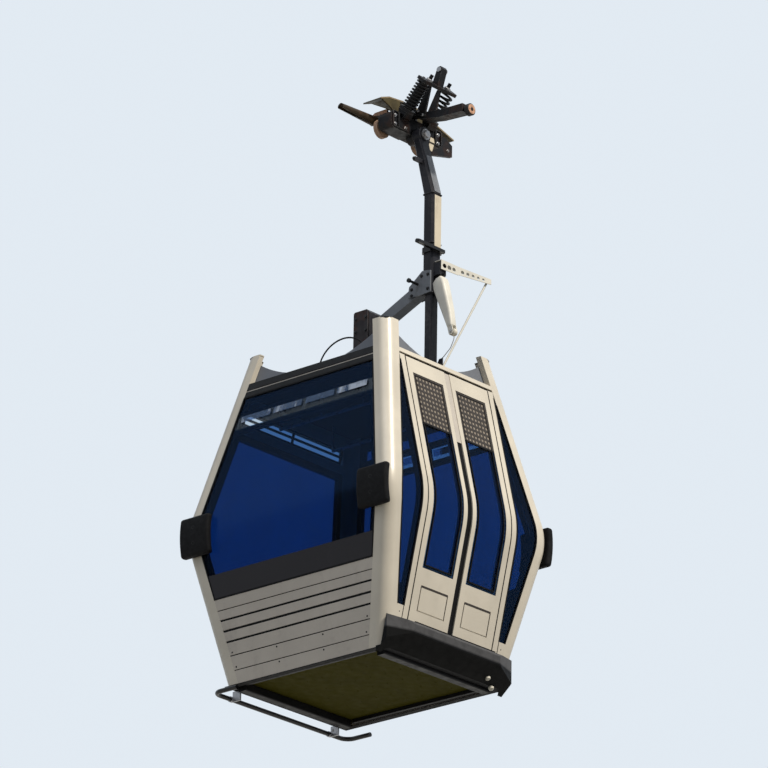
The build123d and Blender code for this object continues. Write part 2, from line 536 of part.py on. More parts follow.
def grip_body():
    """Beam with the fixed jaw, lever ears, spring seats, axle stubs and the swing pin."""
    beam = box(-BEAM_LENGTH / 2, BEAM_LENGTH / 2, *BEAM_Y, *BEAM_Z)
    beam = fillet(beam.edges().filter_by(Axis.Y), 40)
    root = BEAM_Y[1] - 20
    jaw = extrude(Plane.YZ * make_face(Polyline(
        (root, -46), (-14, -34), (-JAW_GAP / 2, -34), (-JAW_GAP / 2, 50), (-14, 62), (-60, 64), (root, 14),
        close=True)), JAW_LENGTH / 2, both=True)
    py, pz = LEVER_PIVOT
    ear = Plane.YZ * make_face(Polyline(
        (py - 42, BEAM_Z[1] - 4), (py + 36, BEAM_Z[1] - 4), (py + 24, pz + 14), (py, pz + 26),
        (py - 24, pz + 14), close=True))
    inner_x = LEVER_WIDTH / 2 + 6
    ears = [Pos(x, 0, 0) * extrude(ear, 18) for x in (inner_x, -inner_x - 18)]
    foot_y, foot_z = SPRING_FOOT
    seats = []
    for x in (-SPRING_SPACING / 2, SPRING_SPACING / 2):
        bracket = Plane.YZ * make_face(Polyline(
            (BEAM_Y[0] + 30, BEAM_Z[1] - 4), (BEAM_Y[0] + 24, foot_z + 10), (foot_y - 18, foot_z - 52),
            (foot_y + 12, BEAM_Z[1] - 34), (BEAM_Y[0] + 10, BEAM_Z[1] - 40), close=True))
        seats += [Pos(x - 40, 0, 0) * extrude(bracket, 80),
                  extrude(tilted(-26, x) * Circle(SPRING_RADIUS + 5), 26 - SEAM)]
    boss = pin_along("Y", SWING_PIN + 24, 60, 0, BEAM_Y[0] + 30, SWING_Z)
    fin_face = Plane.XZ * make_face(Polyline(*FIN, close=True))
    fin = Pos(0, FIN_Y[0], 0) * extrude(fin_face, FIN_Y[0] - FIN_Y[1])
    body = beam + jaw + ears + seats + boss + fin
    body -= pin_along("X", ROPE_RADIUS, 2 * FAR, 0, 0, 0)
    body -= pin_along("X", LEVER_PIN + FIT, 300, 0, py, pz)
    for x in (-WHEEL_SPACING / 2, WHEEL_SPACING / 2):
        body -= pin_along("Y", AXLE + FIT, 60, x, BEAM_Y[1], WHEEL_Z)
    body -= pin_along("Y", SWING_PIN + FIT, 60, 0, BEAM_Y[0], SWING_Z)
    add("grip_body", body, place=Pos(0, 0, 0))
    outer_y = WHEEL_Y + WHEEL_WIDTH / 2
    stub_y = (BEAM_Y[1] - 28, outer_y + 9)
    axles = []
    for x in (-WHEEL_SPACING / 2, WHEEL_SPACING / 2):
        stub = pin_along("Y", AXLE, stub_y[1] - stub_y[0], x, (stub_y[0] + stub_y[1]) / 2, WHEEL_Z)
        axles.append(stub + pin_along("Y", AXLE + 8, 6, x, outer_y + 6, WHEEL_Z))
    add("wheel_axles", *axles, place=Pos(0, 0, 0))
    start, end = BEAM_Y[0] + 28, SWING_Y[0] - 14
    pin = pin_along("Y", SWING_PIN, start - end, 0, (start + end) / 2, SWING_Z)
    add("swing_pin", pin + pin_along("Y", SWING_PIN + 16, 12, 0, end + 6, SWING_Z), place=Pos(0, 0, 0))
    add("lever_pin", pin_along("X", LEVER_PIN, LEVER_WIDTH + 64, 0, py, pz), place=Pos(0, 0, 0))


def friction_plate():
    """Arched plate above the rope, on two webs of the beam."""
    under = [(x, z - PLATE) for x, z in reversed(PLATE_LINE)]
    top = Plane.XZ * make_face(Polyline(*PLATE_LINE, *under, close=True))
    plate = Pos(0, (PLATE_Y[0] + PLATE_Y[1]) / 2, 0) * extrude(top, (PLATE_Y[1] - PLATE_Y[0]) / 2, both=True)
    webs = [Pos(0, PLATE_Y[0] + WEB / 2, 0) * extrude(
        Plane.XZ * make_face(Polyline(*web, close=True)), WEB / 2, both=True) for web in PLATE_WEBS]
    add("friction_plate", plate + webs, place=Pos(0, 0, 0))


def rope_guides():
    """Long tapered guides that lead the rope into the jaws, each on a flange of the beam."""
    start, end = GUIDE_X
    cone = Pos((start + end) / 2, 0, 0) * Rot(0, 90, 0) * Cone(*GUIDE_RADII, end - start)
    near = BEAM_Y[1] + SEAM
    face = Plane.YZ * make_face(Polyline(
        (near, 4), (-51, 4), (-51, -58), (50, -58), (50, 60), (10, 84), (near, 84), close=True))
    flange = Pos(start, 0, 0) * extrude(face, GUIDE_FLANGE)
    guide = cone + flange - pin_along("X", ROPE_RADIUS + GUIDE_PLAY, 2 * FAR, 0, 0, 0)
    guide -= box(0, FAR, -ROPE_RADIUS, FAR, -FAR, -8)
    add("rope_guides", both_signs(max(guide.solids(), key=lambda s: s.volume), Plane.YZ), place=Pos(0, 0, 0))


def clamp_lever():
    """Moving jaw with its lever, the yoke that holds the springs' tops, and the lever's roller."""
    py, pz = LEVER_PIVOT
    ey, ez = LEVER_END
    front = JAW_REACH
    arm = Plane.YZ * make_face(Polyline(
        (front, 72), (front, 96), (front - 26, 112), (-60, pz + 33), (py, pz + 33), *LEVER_UPPER,
        (ey + 32, LEVER_TIP[0]), (ey + 32, LEVER_TIP[1]), *LEVER_LOWER, (py + 30, 72), close=True))
    jaw = Plane.YZ * make_face(Polyline(
        (JAW_GAP / 2, -30), (front - 18, -30), (front, -6), (front, 96), (front - 26, 112),
        (JAW_GAP / 2, 112), close=True))
    lever = extrude(arm, LEVER_WIDTH / 2, both=True) + extrude(jaw, JAW_LENGTH / 2, both=True)
    lever -= pin_along("X", ROPE_RADIUS, 2 * FAR, 0, 0, 0)
    lever -= pin_along("X", LEVER_PIN + FIT, 300, 0, py, pz)
    lever += pin_along("Y", ROLLER_PIN, 60, 0, ey + 6, ez)
    add("clamp_lever", lever, place=Pos(0, 0, 0))
    radius, width = LEVER_ROLLER
    roller = pin_along("Y", radius, width, 0, ey, ez)
    roller -= pin_along("Y", ROLLER_PIN + FIT, 2 * width, 0, ey, ez)
    rim = roller.edges().filter_by(GeomType.CIRCLE).group_by(SortBy.RADIUS)[-1]
    add("lever_roller", chamfer(rim, 5), place=Pos(0, 0, 0))
    thick, wide = YOKE
    long = SPRING_SPACING + 2 * SPRING_RADIUS - 12
    bar = extrude(tilted(SPRING_LENGTH + SEAM) * RectangleRounded(long, wide, 20), thick)
    y, z = tilted(SPRING_LENGTH).origin.Y, tilted(SPRING_LENGTH).origin.Z
    cheek = Plane.YZ * make_face(Polyline(*CHEEK_FOOT, (y + 34, z + 4), (y - 8, z + 34), close=True))
    beside = LEVER_WIDTH / 2 + SEAM
    cheeks = [Pos(x, 0, 0) * extrude(cheek, 14) for x in (beside, -beside - 14)]
    lug = extrude(Plane.YZ * make_face(Polyline(*YOKE_LUG, close=True)), YOKE_LUG_WIDTH / 2, both=True)
    lug -= pin_along("X", 12, 200, 0, -477, 346)
    bolt, tall, aside = YOKE_BOLT
    bolts = [extrude(tilted(SPRING_LENGTH + thick - 2, x) * Circle(bolt), tall) for x in (-aside, aside)]
    add("spring_yoke", bar + cheeks + lug + bolts, place=Pos(0, 0, 0))


def springs():
    """The two springs that keep the jaws closed."""
    coils = [extrude(tilted(0, x) * Circle(SPRING_RADIUS), SPRING_LENGTH)
             for x in (-SPRING_SPACING / 2, SPRING_SPACING / 2)]
    add("grip_springs", *coils, place=Pos(0, 0, 0))


def running_wheels():
    """Two white running wheels on the inner side."""
    for name, x in (("rear", -WHEEL_SPACING / 2), ("front", WHEEL_SPACING / 2)):
        wheel = Cylinder(WHEEL_RADIUS, WHEEL_WIDTH) - Cylinder(AXLE + FIT, 100)
        wheel = chamfer(wheel.edges().filter_by(GeomType.CIRCLE).group_by(SortBy.RADIUS)[-1], 4)
        add(f"running_wheel_{name}", Pos(x, WHEEL_Y, WHEEL_Z) * Rot(90, 0, 0) * wheel, place=Pos(0, 0, 0))


for build in (corner_posts, end_walls, door_side, door_step, rear_side, floor_and_roof, benches, bumper_pads,
              guide_rail, hanger, door_control, grip_body, friction_plate, rope_guides, clamp_lever, springs,
              running_wheels):
    build()

os.makedirs("parts", exist_ok=True)
for name, shape in parts.items():
    export_step(shape, f"parts/{name}.step")
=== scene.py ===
"""Looks of the ropeway cabin: materials, trim, fasteners, springs, wheels, cushions, light and camera.

Metres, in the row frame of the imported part. Cabin points are written from the middle of its lower edge.
"""
import json
import math

import bmesh
import bpy
from mathutils import Matrix, Vector


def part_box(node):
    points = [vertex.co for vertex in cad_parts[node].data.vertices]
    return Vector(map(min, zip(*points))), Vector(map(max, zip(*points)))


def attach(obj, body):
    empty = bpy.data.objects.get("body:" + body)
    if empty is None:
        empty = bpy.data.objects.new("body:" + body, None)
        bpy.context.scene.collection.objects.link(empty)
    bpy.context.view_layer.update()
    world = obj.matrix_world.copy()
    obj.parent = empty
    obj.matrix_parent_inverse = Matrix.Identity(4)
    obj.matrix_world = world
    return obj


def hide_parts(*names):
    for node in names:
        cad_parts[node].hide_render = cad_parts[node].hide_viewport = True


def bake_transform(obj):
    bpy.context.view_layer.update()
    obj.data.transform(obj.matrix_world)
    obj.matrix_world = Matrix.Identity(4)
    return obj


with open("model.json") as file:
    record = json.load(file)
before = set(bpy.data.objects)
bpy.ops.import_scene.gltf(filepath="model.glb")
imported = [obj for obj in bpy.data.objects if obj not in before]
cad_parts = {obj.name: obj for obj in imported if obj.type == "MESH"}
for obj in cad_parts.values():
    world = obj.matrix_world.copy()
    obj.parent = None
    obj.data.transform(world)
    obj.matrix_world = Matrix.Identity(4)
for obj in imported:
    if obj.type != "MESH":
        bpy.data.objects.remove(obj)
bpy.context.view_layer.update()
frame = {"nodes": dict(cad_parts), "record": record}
nodes = frame["nodes"]
scene = bpy.context.scene

# Cabin body, as in the part: lengths and widths at the foot, at the waist and at the posts' tops
ROPE_TO_CABIN, CABIN_SIDE = 4.257, 0.186
LENGTHS, WIDTHS = (1.295, 1.751, 1.163), (1.492, 1.983, 1.345)
WAIST, POST_TOP, WAIST_BEND = 1.117, 2.5, 0.62
POST_FACE, ROOF_LINE = 0.131, 2.267
ROOF_Z = ROOF_LINE - ROPE_TO_CABIN

# Ends: each groove is its height and how tall it is
END_SKIRT_TOP, BAND_TOP, END_HEADER_FOOT = 0.617, 0.790, 2.155
GROOVES = ((0.531, 0.007), (0.458, 0.015), (0.380, 0.017), (0.301, 0.015), (0.200, 0.008), (0.094, 0.007))
CLEAR_STRIP = (1.902, 2.003)

# Closed side
REAR_SKIRT_TOP, RAIL_FOOT, SLOT_FOOT, SLOT_TOP = 0.283, 1.950, 2.015, 2.120

# Door side
DOOR_HALF, PILLAR, SEAL_HALF = 0.451, 0.059, 0.028
LEAF_FOOT, LEAF_TOP, HEADER_FOOT = 0.222, 2.212, 2.234
LEAF_WINDOW, LEAF_SILL, GRILLE_FOOT, GRILLE_TOP = (0.088, 0.374), 0.627, 1.702, 2.080
RECESS_FOOT, RECESS_TOP = 0.305, 0.483
SIDE_SILL, SIDE_TOP, PILLAR_TOP = 0.311, 2.12, 2.17
# The step's band: the heights over which its grey fades into black below, which is painted shade
STEP_HEIGHT, STEP_SHADE_BAND = 0.216, (0.118, 0.135)

# Hanger and grip, as in the part
HANGER_Y, HANGER_HALF_X, HANGER_HALF_Y = -0.400, 0.050, 0.048
HANGER_FRONT = HANGER_Y - HANGER_HALF_Y
LEAN_TOP, LEAN_FOOT = (-0.317, -0.157), (HANGER_FRONT, -0.620)
JOINT_Z, CONTROL_Z = -1.310, -1.215
LEVER_Y, LEVER_FALL = HANGER_FRONT - 0.0004, math.radians(8.3)
LEVER_Z = CONTROL_Z + 0.034 + 0.034 * math.tan(LEVER_FALL) + 0.0004
ARM_ROLLER = Vector((0, -0.610, -1.742))
SPRING_FOOT, SPRING_LEAN, SPRING_LENGTH = Vector((0, -0.268, 0.060)), math.radians(43), 0.225
SPRING_X = 0.1325
WHEEL_X, WHEEL_Y, WHEEL_Z = 0.205, -0.076, -0.077
LEVER_ROLLER_Y, LEVER_ROLLER_Z = -0.747, -0.042

SIDES = (-1, 1)
AXIS_X, AXIS_Z = Vector((1, 0, 0)), Vector((0, 0, 1))


# Materials

BUMP_DEPTH, EDGE_RADIUS = 0.002, 0.004
WINDOW_TINT, CLEAR_TINT, FLAP_TINT = (0.24, 0.39, 0.60, 1.0), (0.80, 0.86, 0.92, 1.0), (0.5, 0.6, 0.75, 1.0)


def srgb(*levels):
    """Linear colour for levels of 0 to 255 as seen on a screen."""
    return tuple(((v / 255 + 0.055) / 1.055) ** 2.4 if v > 10 else v / 255 / 12.92 for v in levels) + (1.0,)


def darker(colour, share):
    return tuple(c * share for c in colour[:3]) + (1.0,)


class Tree:
    """The node tree of a material or a world, with short ways to add nodes."""

    def __init__(self, name, kind="materials"):
        self.owner = getattr(bpy.data, kind).new(name)
        self.owner.use_nodes = True
        self.nt = self.owner.node_tree
        self.nt.nodes.clear()

    def add(self, kind, **sockets):
        node = self.nt.nodes.new(kind)
        for key, value in sockets.items():
            self.feed(node.inputs[key.replace("_", " ")], value)
        return node

    def feed(self, socket, value):
        if isinstance(value, bpy.types.NodeSocket):
            self.nt.links.new(value, socket)
        else:
            socket.default_value = value

    def place(self):
        return self.add("ShaderNodeTexCoord").outputs["Object"]

    def scaled(self, scale):
        scale = scale if hasattr(scale, "__len__") else (scale,) * 3
        return self.add("ShaderNodeMapping", Vector=self.place(), Scale=scale).outputs[0]

    def noise(self, scale, detail=3.0):
        return self.add("ShaderNodeTexNoise", Vector=self.scaled(scale), Scale=1.0, Detail=detail,
                        Roughness=0.55).outputs["Fac"]

    def span(self, value, low, high, out_low=0.0, out_high=1.0):
        return self.add("ShaderNodeMapRange", Value=value, From_Min=low, From_Max=high, To_Min=out_low,
                        To_Max=out_high).outputs[0]

    def uneven(self, scale, low, high):
        """A roughness that wanders between two values."""
        return self.span(self.noise(scale), 0.3, 0.7, low, high)

    def math(self, operation, a, b):
        node = self.add("ShaderNodeMath")
        node.operation = operation
        self.feed(node.inputs[0], a)
        self.feed(node.inputs[1], b)
        return node.outputs[0]

    def mix(self, share, a, b):
        node = self.add("ShaderNodeMix")
        node.data_type = "RGBA"
        for socket, value in ((0, share), (6, a), (7, b)):
            self.feed(node.inputs[socket], value)
        return node.outputs[2]

    def mix_shaders(self, share, a, b):
        node = self.add("ShaderNodeMixShader")
        for socket, value in enumerate((share, a, b)):
            self.feed(node.inputs[socket], value)
        return node.outputs[0]

    def edges(self, radius):
        """1 on worn edges, 0 on flat faces."""
        bevel = self.add("ShaderNodeBevel", Radius=radius)
        bevel.samples = 4
        dot = self.add("ShaderNodeVectorMath")
        dot.operation = "DOT_PRODUCT"
        self.feed(dot.inputs[0], bevel.outputs[0])
        self.feed(dot.inputs[1], self.add("ShaderNodeNewGeometry").outputs["Normal"])
        return self.span(dot.outputs["Value"], 0.99, 0.80)

    def seen_rays(self):
        """1 for the rays that show a thing itself, straight, mirrored or through glass, 0 for its light."""
        path = self.add("ShaderNodeLightPath").outputs
        mirrored = self.math("MAXIMUM", path["Is Glossy Ray"], path["Is Transmission Ray"])
        return self.math("MAXIMUM", path["Is Camera Ray"], mirrored)

    def show(self, surface, kind="Material"):
        self.nt.links.new(surface, self.add("ShaderNodeOutput" + kind).inputs[0])
        return self.owner

    def finish(self, colour, rough, height=None, bump=0.1, metal=0.0, coat=0.0, specular=0.5):
        shader = self.add("ShaderNodeBsdfPrincipled", Base_Color=colour, Roughness=rough, Metallic=metal,
                          Coat_Weight=coat, Specular_IOR_Level=specular)
        if height is not None:
            node = self.add("ShaderNodeBump", Height=height, Strength=bump, Distance=BUMP_DEPTH)
            self.feed(shader.inputs["Normal"], node.outputs[0])
        return self.show(shader.outputs[0])


def coated(name, base, dirt, worn, rough, metal=0.0, grain=(260, 260, 260), bump=0.08, wear=0.5, soot=0.35,
           coat=0.0, cloud=2.2, specular=0.5):
    """Painted or anodised metal and moulded plastic: mottling, dirt runs, worn edges and a fine grain."""
    t = Tree(name)
    base = srgb(*base)
    colour = t.mix(t.span(t.noise(cloud), 0.35, 0.68), base, darker(base, 0.86))
    runs = t.math("MULTIPLY", t.span(t.noise((9, 9, 1.3), 5), 0.50, 0.78), t.span(t.noise(26), 0.35, 0.65))
    colour = t.mix(t.math("MULTIPLY", runs, soot), colour, srgb(*dirt))
    rubbed = t.math("MULTIPLY", t.edges(EDGE_RADIUS), t.span(t.noise(60, 4), 0.40, 0.62))
    colour = t.mix(t.math("MULTIPLY", rubbed, wear), colour, srgb(*worn))
    gloss = t.uneven(18, rough - 0.07, rough + 0.09)
    return t.finish(colour, gloss, t.noise(grain, 4), bump, metal, coat, specular)


def brushed(name, base, rough, lines, metal, soot):
    """Anodised aluminium: fine lines along the profile."""
    return coated(name, base, (104, 96, 86), (236, 232, 224), rough, metal, lines, 0.08, 0.4, soot)


def rubber(name):
    """Black rubber with a dusty bloom and fine moulding grain."""
    t = Tree(name)
    bloom = t.math("MULTIPLY", t.span(t.noise(14, 5), 0.48, 0.75), 0.30)
    colour = t.mix(bloom, srgb(9, 9, 11), srgb(40, 40, 42))
    return t.finish(colour, t.uneven(40, 0.64, 0.80), t.noise(420, 2), 0.15, specular=0.12)


def casting(name, base=(20, 20, 23), rust=(62, 39, 28), rough=0.52, amount=0.5, metal=0.25, specular=0.2):
    """Greased dark casting: sand-cast grain, brown patches, bright rubbed edges."""
    t = Tree(name)
    patches = t.math("MULTIPLY", t.span(t.noise(9, 5), 0.50, 0.66), amount)
    rubbed = t.math("MULTIPLY", t.edges(EDGE_RADIUS + 0.001), t.span(t.noise(70, 4), 0.36, 0.6))
    colour = t.mix(patches, srgb(*base), srgb(*rust))
    colour = t.mix(t.math("MULTIPLY", rubbed, 0.65), colour, srgb(150, 148, 144))
    return t.finish(colour, t.uneven(22, rough - 0.14, rough + 0.12), t.noise(190, 5), 0.25, metal,
                    specular=specular)


def banded_painted_shade(name, base, below, heights):
    """Scuffed plastic that turns into another colour between two heights of the cabin; on the step that
    colour is black, painted shade on its underside.
    """
    t = Tree(name)
    low, high = (z - ROPE_TO_CABIN for z in heights)
    place = t.add("ShaderNodeSeparateXYZ", Vector=t.add("ShaderNodeNewGeometry").outputs["Position"])
    base = srgb(*base)
    colour = t.mix(t.span(t.noise(16, 5), 0.45, 0.8), base, darker(base, 0.6))
    # Painted shade: below the band the colour turns into the one given for below
    colour = t.mix(t.span(place.outputs[2], high, low), colour, srgb(*below))
    return t.finish(colour, t.uneven(20, 0.45, 0.65), t.noise(220, 4), 0.12, specular=0.06)


def glass(name, tint, mirrored, overlay=(8, 14, 26), overlay_shares=(0.036, 0.09), patch=(0.35, 0.75), clear=None):
    """Tinted pane: light passes with the tint, under a patchy overlay and a mirror by Fresnel. The overlay is
    a thin dark film of dust on the windows, and pale painted glints of the sky on the vent flaps.
    """
    t = Tree(name)
    if clear:
        low, high = (z - ROPE_TO_CABIN for z in clear)
        height = t.add("ShaderNodeSeparateXYZ", Vector=t.place()).outputs[2]
        inside = t.math("MULTIPLY", t.math("GREATER_THAN", height, low), t.math("LESS_THAN", height, high))
        tint = t.mix(inside, tint, CLEAR_TINT)
    pane = t.add("ShaderNodeBsdfTransparent", Color=tint).outputs[0]
    # Patchy overlay: dust on the windows, painted glints of the sky on the vent flaps
    dust_and_painted_glint = t.add("ShaderNodeBsdfPrincipled", Base_Color=srgb(*overlay), Roughness=0.12, Specular_IOR_Level=0.1)
    body = t.mix_shaders(t.span(t.noise((5, 5, 2), 4), *patch, *overlay_shares), pane, dust_and_painted_glint.outputs[0])
    mirror = t.add("ShaderNodeBsdfGlossy", Roughness=0.03)
    share = t.math("MULTIPLY", t.add("ShaderNodeFresnel", IOR=1.38).outputs[0], mirrored)
    return t.show(t.mix_shaders(share, body, mirror.outputs[0]))


def vinyl(name):
    """Seat vinyl with a leather grain and pale rubbed spots."""
    t = Tree(name)
    cells = t.add("ShaderNodeTexVoronoi", Vector=t.scaled(240), Scale=1.0)
    colour = t.mix(t.span(t.noise(7, 4), 0.42, 0.75), srgb(40, 44, 54), srgb(64, 68, 78))
    return t.finish(colour, t.uneven(30, 0.42, 0.6), cells.outputs["Distance"], 0.2)


# Every look under its slot's name, or under its own name where single pieces have it
LOOKS = {
    "silver_extrusion": brushed("posts_and_leaves", (222, 213, 196), 0.38, (420, 420, 2), 0.04, 0.10),
    "silver_panel": brushed("grooved_panels", (204, 195, 183), 0.46, (2.5, 2.5, 640), 0.06, 0.22),
    "bright_header": brushed("header_profiles", (226, 217, 200), 0.40, (2.5, 2.5, 500), 0.04, 0.10),
    "black_rubber": rubber("black_rubber"),
    "seat_vinyl": vinyl("seat_vinyl"),
    # Step: grey above its band, painted shade in black below it
    "step_plastic": banded_painted_shade("step_plastic", (82, 82, 84), (8, 8, 8), STEP_SHADE_BAND),
    "zinc_steel": casting("zinc_steel", (148, 148, 150), (100, 84, 66), 0.34, 0.4, 0.8, 0.5),
    "grip_casting": casting("grip_casting"),
    "spring_steel": casting("spring_steel", (16, 16, 18), (52, 36, 27), 0.36, 0.3),
    "greased_olive": casting("greased_olive", (54, 45, 33), (96, 68, 48), 0.5, 0.6, 0.05),
    "friction_olive": casting("friction_olive", (88, 78, 50), (44, 38, 24), 0.5, 0.6, 0.05),
    "rusty_plate": casting("rusty_plate", (40, 36, 38), (84, 52, 38), 0.6, 0.6, 0.05),
    "tinted_glass": glass("tinted_glass", WINDOW_TINT, 0.08),
    "end_glass": glass("end_glass", WINDOW_TINT, 0.08, clear=CLEAR_STRIP),
    # Vent flaps: pale patches over the tinted pane are painted glints of the sky
    "vent_flap_painted_glints": glass("vent_flap_painted_glints", FLAP_TINT, 0.3, (196, 208, 226), (0.0, 0.9), (0.52, 0.60)),
}
# Look: material's name, colour, dirt, worn edges, roughness, and what differs from the usual coat
COATS = {
    "black_frame": ("black_frames", (14, 14, 16), (46, 38, 32), (74, 72, 70), 0.45,
                    dict(wear=0.3, specular=0.14)),
    "vent_grille": ("vent_grille", (58, 52, 48), (34, 31, 29), (96, 90, 84), 0.5, dict(specular=0.2)),
    "floor_paint": ("underseal", (70, 66, 14), (30, 27, 10), (90, 86, 44), 0.75,
                    dict(grain=(90, 90, 90), bump=0.3, wear=0.2, cloud=3.5, specular=0.06)),
    "roof_paint": ("roof_paint", (112, 116, 124), (72, 72, 74), (160, 162, 166), 0.5,
                   dict(soot=0.5, specular=0.3)),
    "seat_panel": ("seat_panel", (50, 52, 58), (34, 34, 36), (90, 90, 94), 0.5, dict(specular=0.2)),
    "dark_tube": ("black_tube", (12, 12, 15), (36, 32, 28), (120, 120, 122), 0.3,
                  dict(wear=0.4, coat=0.12, specular=0.2)),
    # Dark on all faces: painted shade of the hanger tube; its sunlit front is painted by pale plates in
    # hanger_trim
    "hanger_paint": ("hanger_paint", (34, 34, 40), (88, 84, 84), (126, 124, 122), 0.45,
                     dict(wear=0.7, cloud=5, soot=0.7, specular=0.16)),
    "white_paint": ("white_paint", (232, 228, 216), (150, 138, 118), (240, 238, 232), 0.45,
                    dict(soot=0.3, cloud=9)),
    "white_roller": ("white_polyamide", (228, 222, 206), (120, 104, 82), (236, 232, 222), 0.4,
                     dict(soot=0.5, cloud=14)),
    "dark_roller": ("dark_polyamide", (22, 22, 24), (60, 50, 40), (110, 106, 98), 0.45, dict(specular=0.2)),
    "worn_tan": ("worn_tan", (212, 164, 132), (110, 70, 48), (226, 196, 170), 0.55, dict(cloud=20, soot=0.6)),
    # Also the painted highlight on the hanger's leaning front
    "zinc_and_painted_highlight": ("galvanised_joint", (122, 126, 132), (66, 60, 56), (172, 172, 174), 0.5,
                   dict(cloud=16, soot=0.9, specular=0.4)),
    # Pale edges of the friction plate: rubbed wear and painted highlight
    "rubbed_edge": ("rubbed_edge", (142, 124, 94), (70, 58, 40), (196, 184, 160), 0.5,
                    dict(cloud=20, soot=0.8)),
    "worn_tyre": ("worn_tyre", (186, 150, 122), (62, 42, 32), (214, 190, 166), 0.5, dict(cloud=16, soot=1.0)),
    # Pale sheet behind the grille's holes: painted light seen through them
    "grille_lining": ("grille_lining", (150, 140, 128), (84, 77, 69), (180, 174, 166), 0.7,
                      dict(soot=0.6, specular=0.2)),
    # Also the painted highlight on the hanger's straight front
    "cream_plate": ("cream_plate", (226, 214, 190), (120, 104, 82), (238, 230, 212), 0.45, dict(soot=0.6)),
    "bare_plate": ("bare_plate", (214, 214, 210), (150, 148, 142), (226, 226, 224), 0.4, {}),
    "bare_band": ("bare_band", (30, 27, 32), (46, 42, 46), (60, 58, 62), 0.35, dict(wear=0.1, specular=0.2)),
    "ceiling_panel": ("ceiling_panel", (22, 23, 26), (16, 16, 18), (50, 50, 54), 0.6, dict(specular=0.15)),
}
for look, (*coat, more) in COATS.items():
    LOOKS[look] = coated(*coat, **more)

# The nodes that look otherwise than their slot, and then all of them
NODE_LOOKS = {part["node"]: part["material_slot"] for part in frame["record"]["subparts"]}
NODE_LOOKS.update(hanger_collars="dark_tube", hanger_diagonal="zinc_and_painted_highlight", door_rod="white_paint",
                  friction_plate="friction_olive", rope_guides="greased_olive", end_windows="end_glass")
for node, part in nodes.items():
    part.data.materials.clear()
    part.data.materials.append(LOOKS[NODE_LOOKS[node]])


# Shapes

def cabin(x, y, z):
    """A point of the cabin, from the middle of its lower edge."""
    return Vector((x, y + CABIN_SIDE, z - ROPE_TO_CABIN))


def half(sizes, z, inset=0.0):
    """Half size of the body at a height, with the bend at the waist as in the part."""
    low, mid, top = (size / 2 - inset for size in sizes)
    rise, fall = (mid - low) / WAIST, (top - mid) / (POST_TOP - WAIST)
    long_low, long_top = math.hypot(1, rise), math.hypot(1, fall)
    base, radius = mid - fall * WAIST, WAIST_BEND - inset
    z_mid = (base - low + radius * (long_low - long_top)) / (rise - fall)
    x_mid = low + rise * z_mid - radius * long_low
    if z <= z_mid - radius * rise / long_low:
        return low + rise * z
    if z >= z_mid - radius * fall / long_top:
        return base + fall * z
    return x_mid + math.sqrt(radius * radius - (z - z_mid) ** 2)


def on_wall(side, u, z, inset=0.0):
    """A point on the ends A and B, the door side D or the closed side S: u runs along the wall."""
    if side in "AB":
        return cabin(half(LENGTHS, z, inset) * (-1 if side == "A" else 1), u, z)
    return cabin(u, half(WIDTHS, z, inset) * (-1 if side == "D" else 1), z)


def wall_normal(side, z):
    """The way out of a wall at a height."""
    up = on_wall(side, 0, z + 0.01) - on_wall(side, 0, z - 0.01)
    normal = up.cross(on_wall(side, 1, z) - on_wall(side, 0, z)).normalized()
    return normal if normal.dot(on_wall(side, 0, z) - on_wall(side, 0, z, 0.1)) > 0 else -normal


def end_edge(z):
    """Where the corner posts' faces end on the cabin's ends, from their middle."""
    return half(WIDTHS, z) - POST_FACE


def side_edge(z):
    """Where the corner posts' faces end on the cabin's long sides, from their middle."""
    return half(LENGTHS, z) - POST_FACE


def beside(edge, sign, by):
    """A line along a post's edge, moved by a distance."""
    return lambda z: sign * (edge(z) + by)


def leaf_span(sign, inset):
    """Where a leaf's window starts and ends along the wall, less an inset."""
    low, high = sorted(sign * u for u in LEAF_WINDOW)
    return low + inset, high - inset


def turns(n):
    """The angles of n equal steps round a circle."""
    return [2 * math.pi * i / n for i in range(n)]


def mirrored(profile, wide):
    """A turned profile and its mirror image, which ends at a width."""
    return profile + [(wide - along, r) for along, r in profile[::-1]]


def turn_to(direction):
    return AXIS_Z.rotation_difference(Vector(direction).normalized()).to_matrix().to_4x4()


def rounded_ring(centre, across, away, half_across, half_away, corner):
    """Points of a rounded rectangle round a centre, from its two directions and half sizes."""
    ring = []
    for sx, sy in ((-1, -1), (1, -1), (1, 1), (-1, 1)):
        for k in range(5):
            a = math.atan2(sy, sx) - math.pi / 4 + k * math.pi / 8
            ring.append(centre + across * (sx * (half_across - corner) + corner * math.cos(a))
                        + away * (sy * (half_away - corner) + corner * math.sin(a)))
    return ring


MERGE_DISTANCE, SMOOTH_BELOW, BEVEL_ABOVE = 1e-6, math.radians(34), math.radians(32)


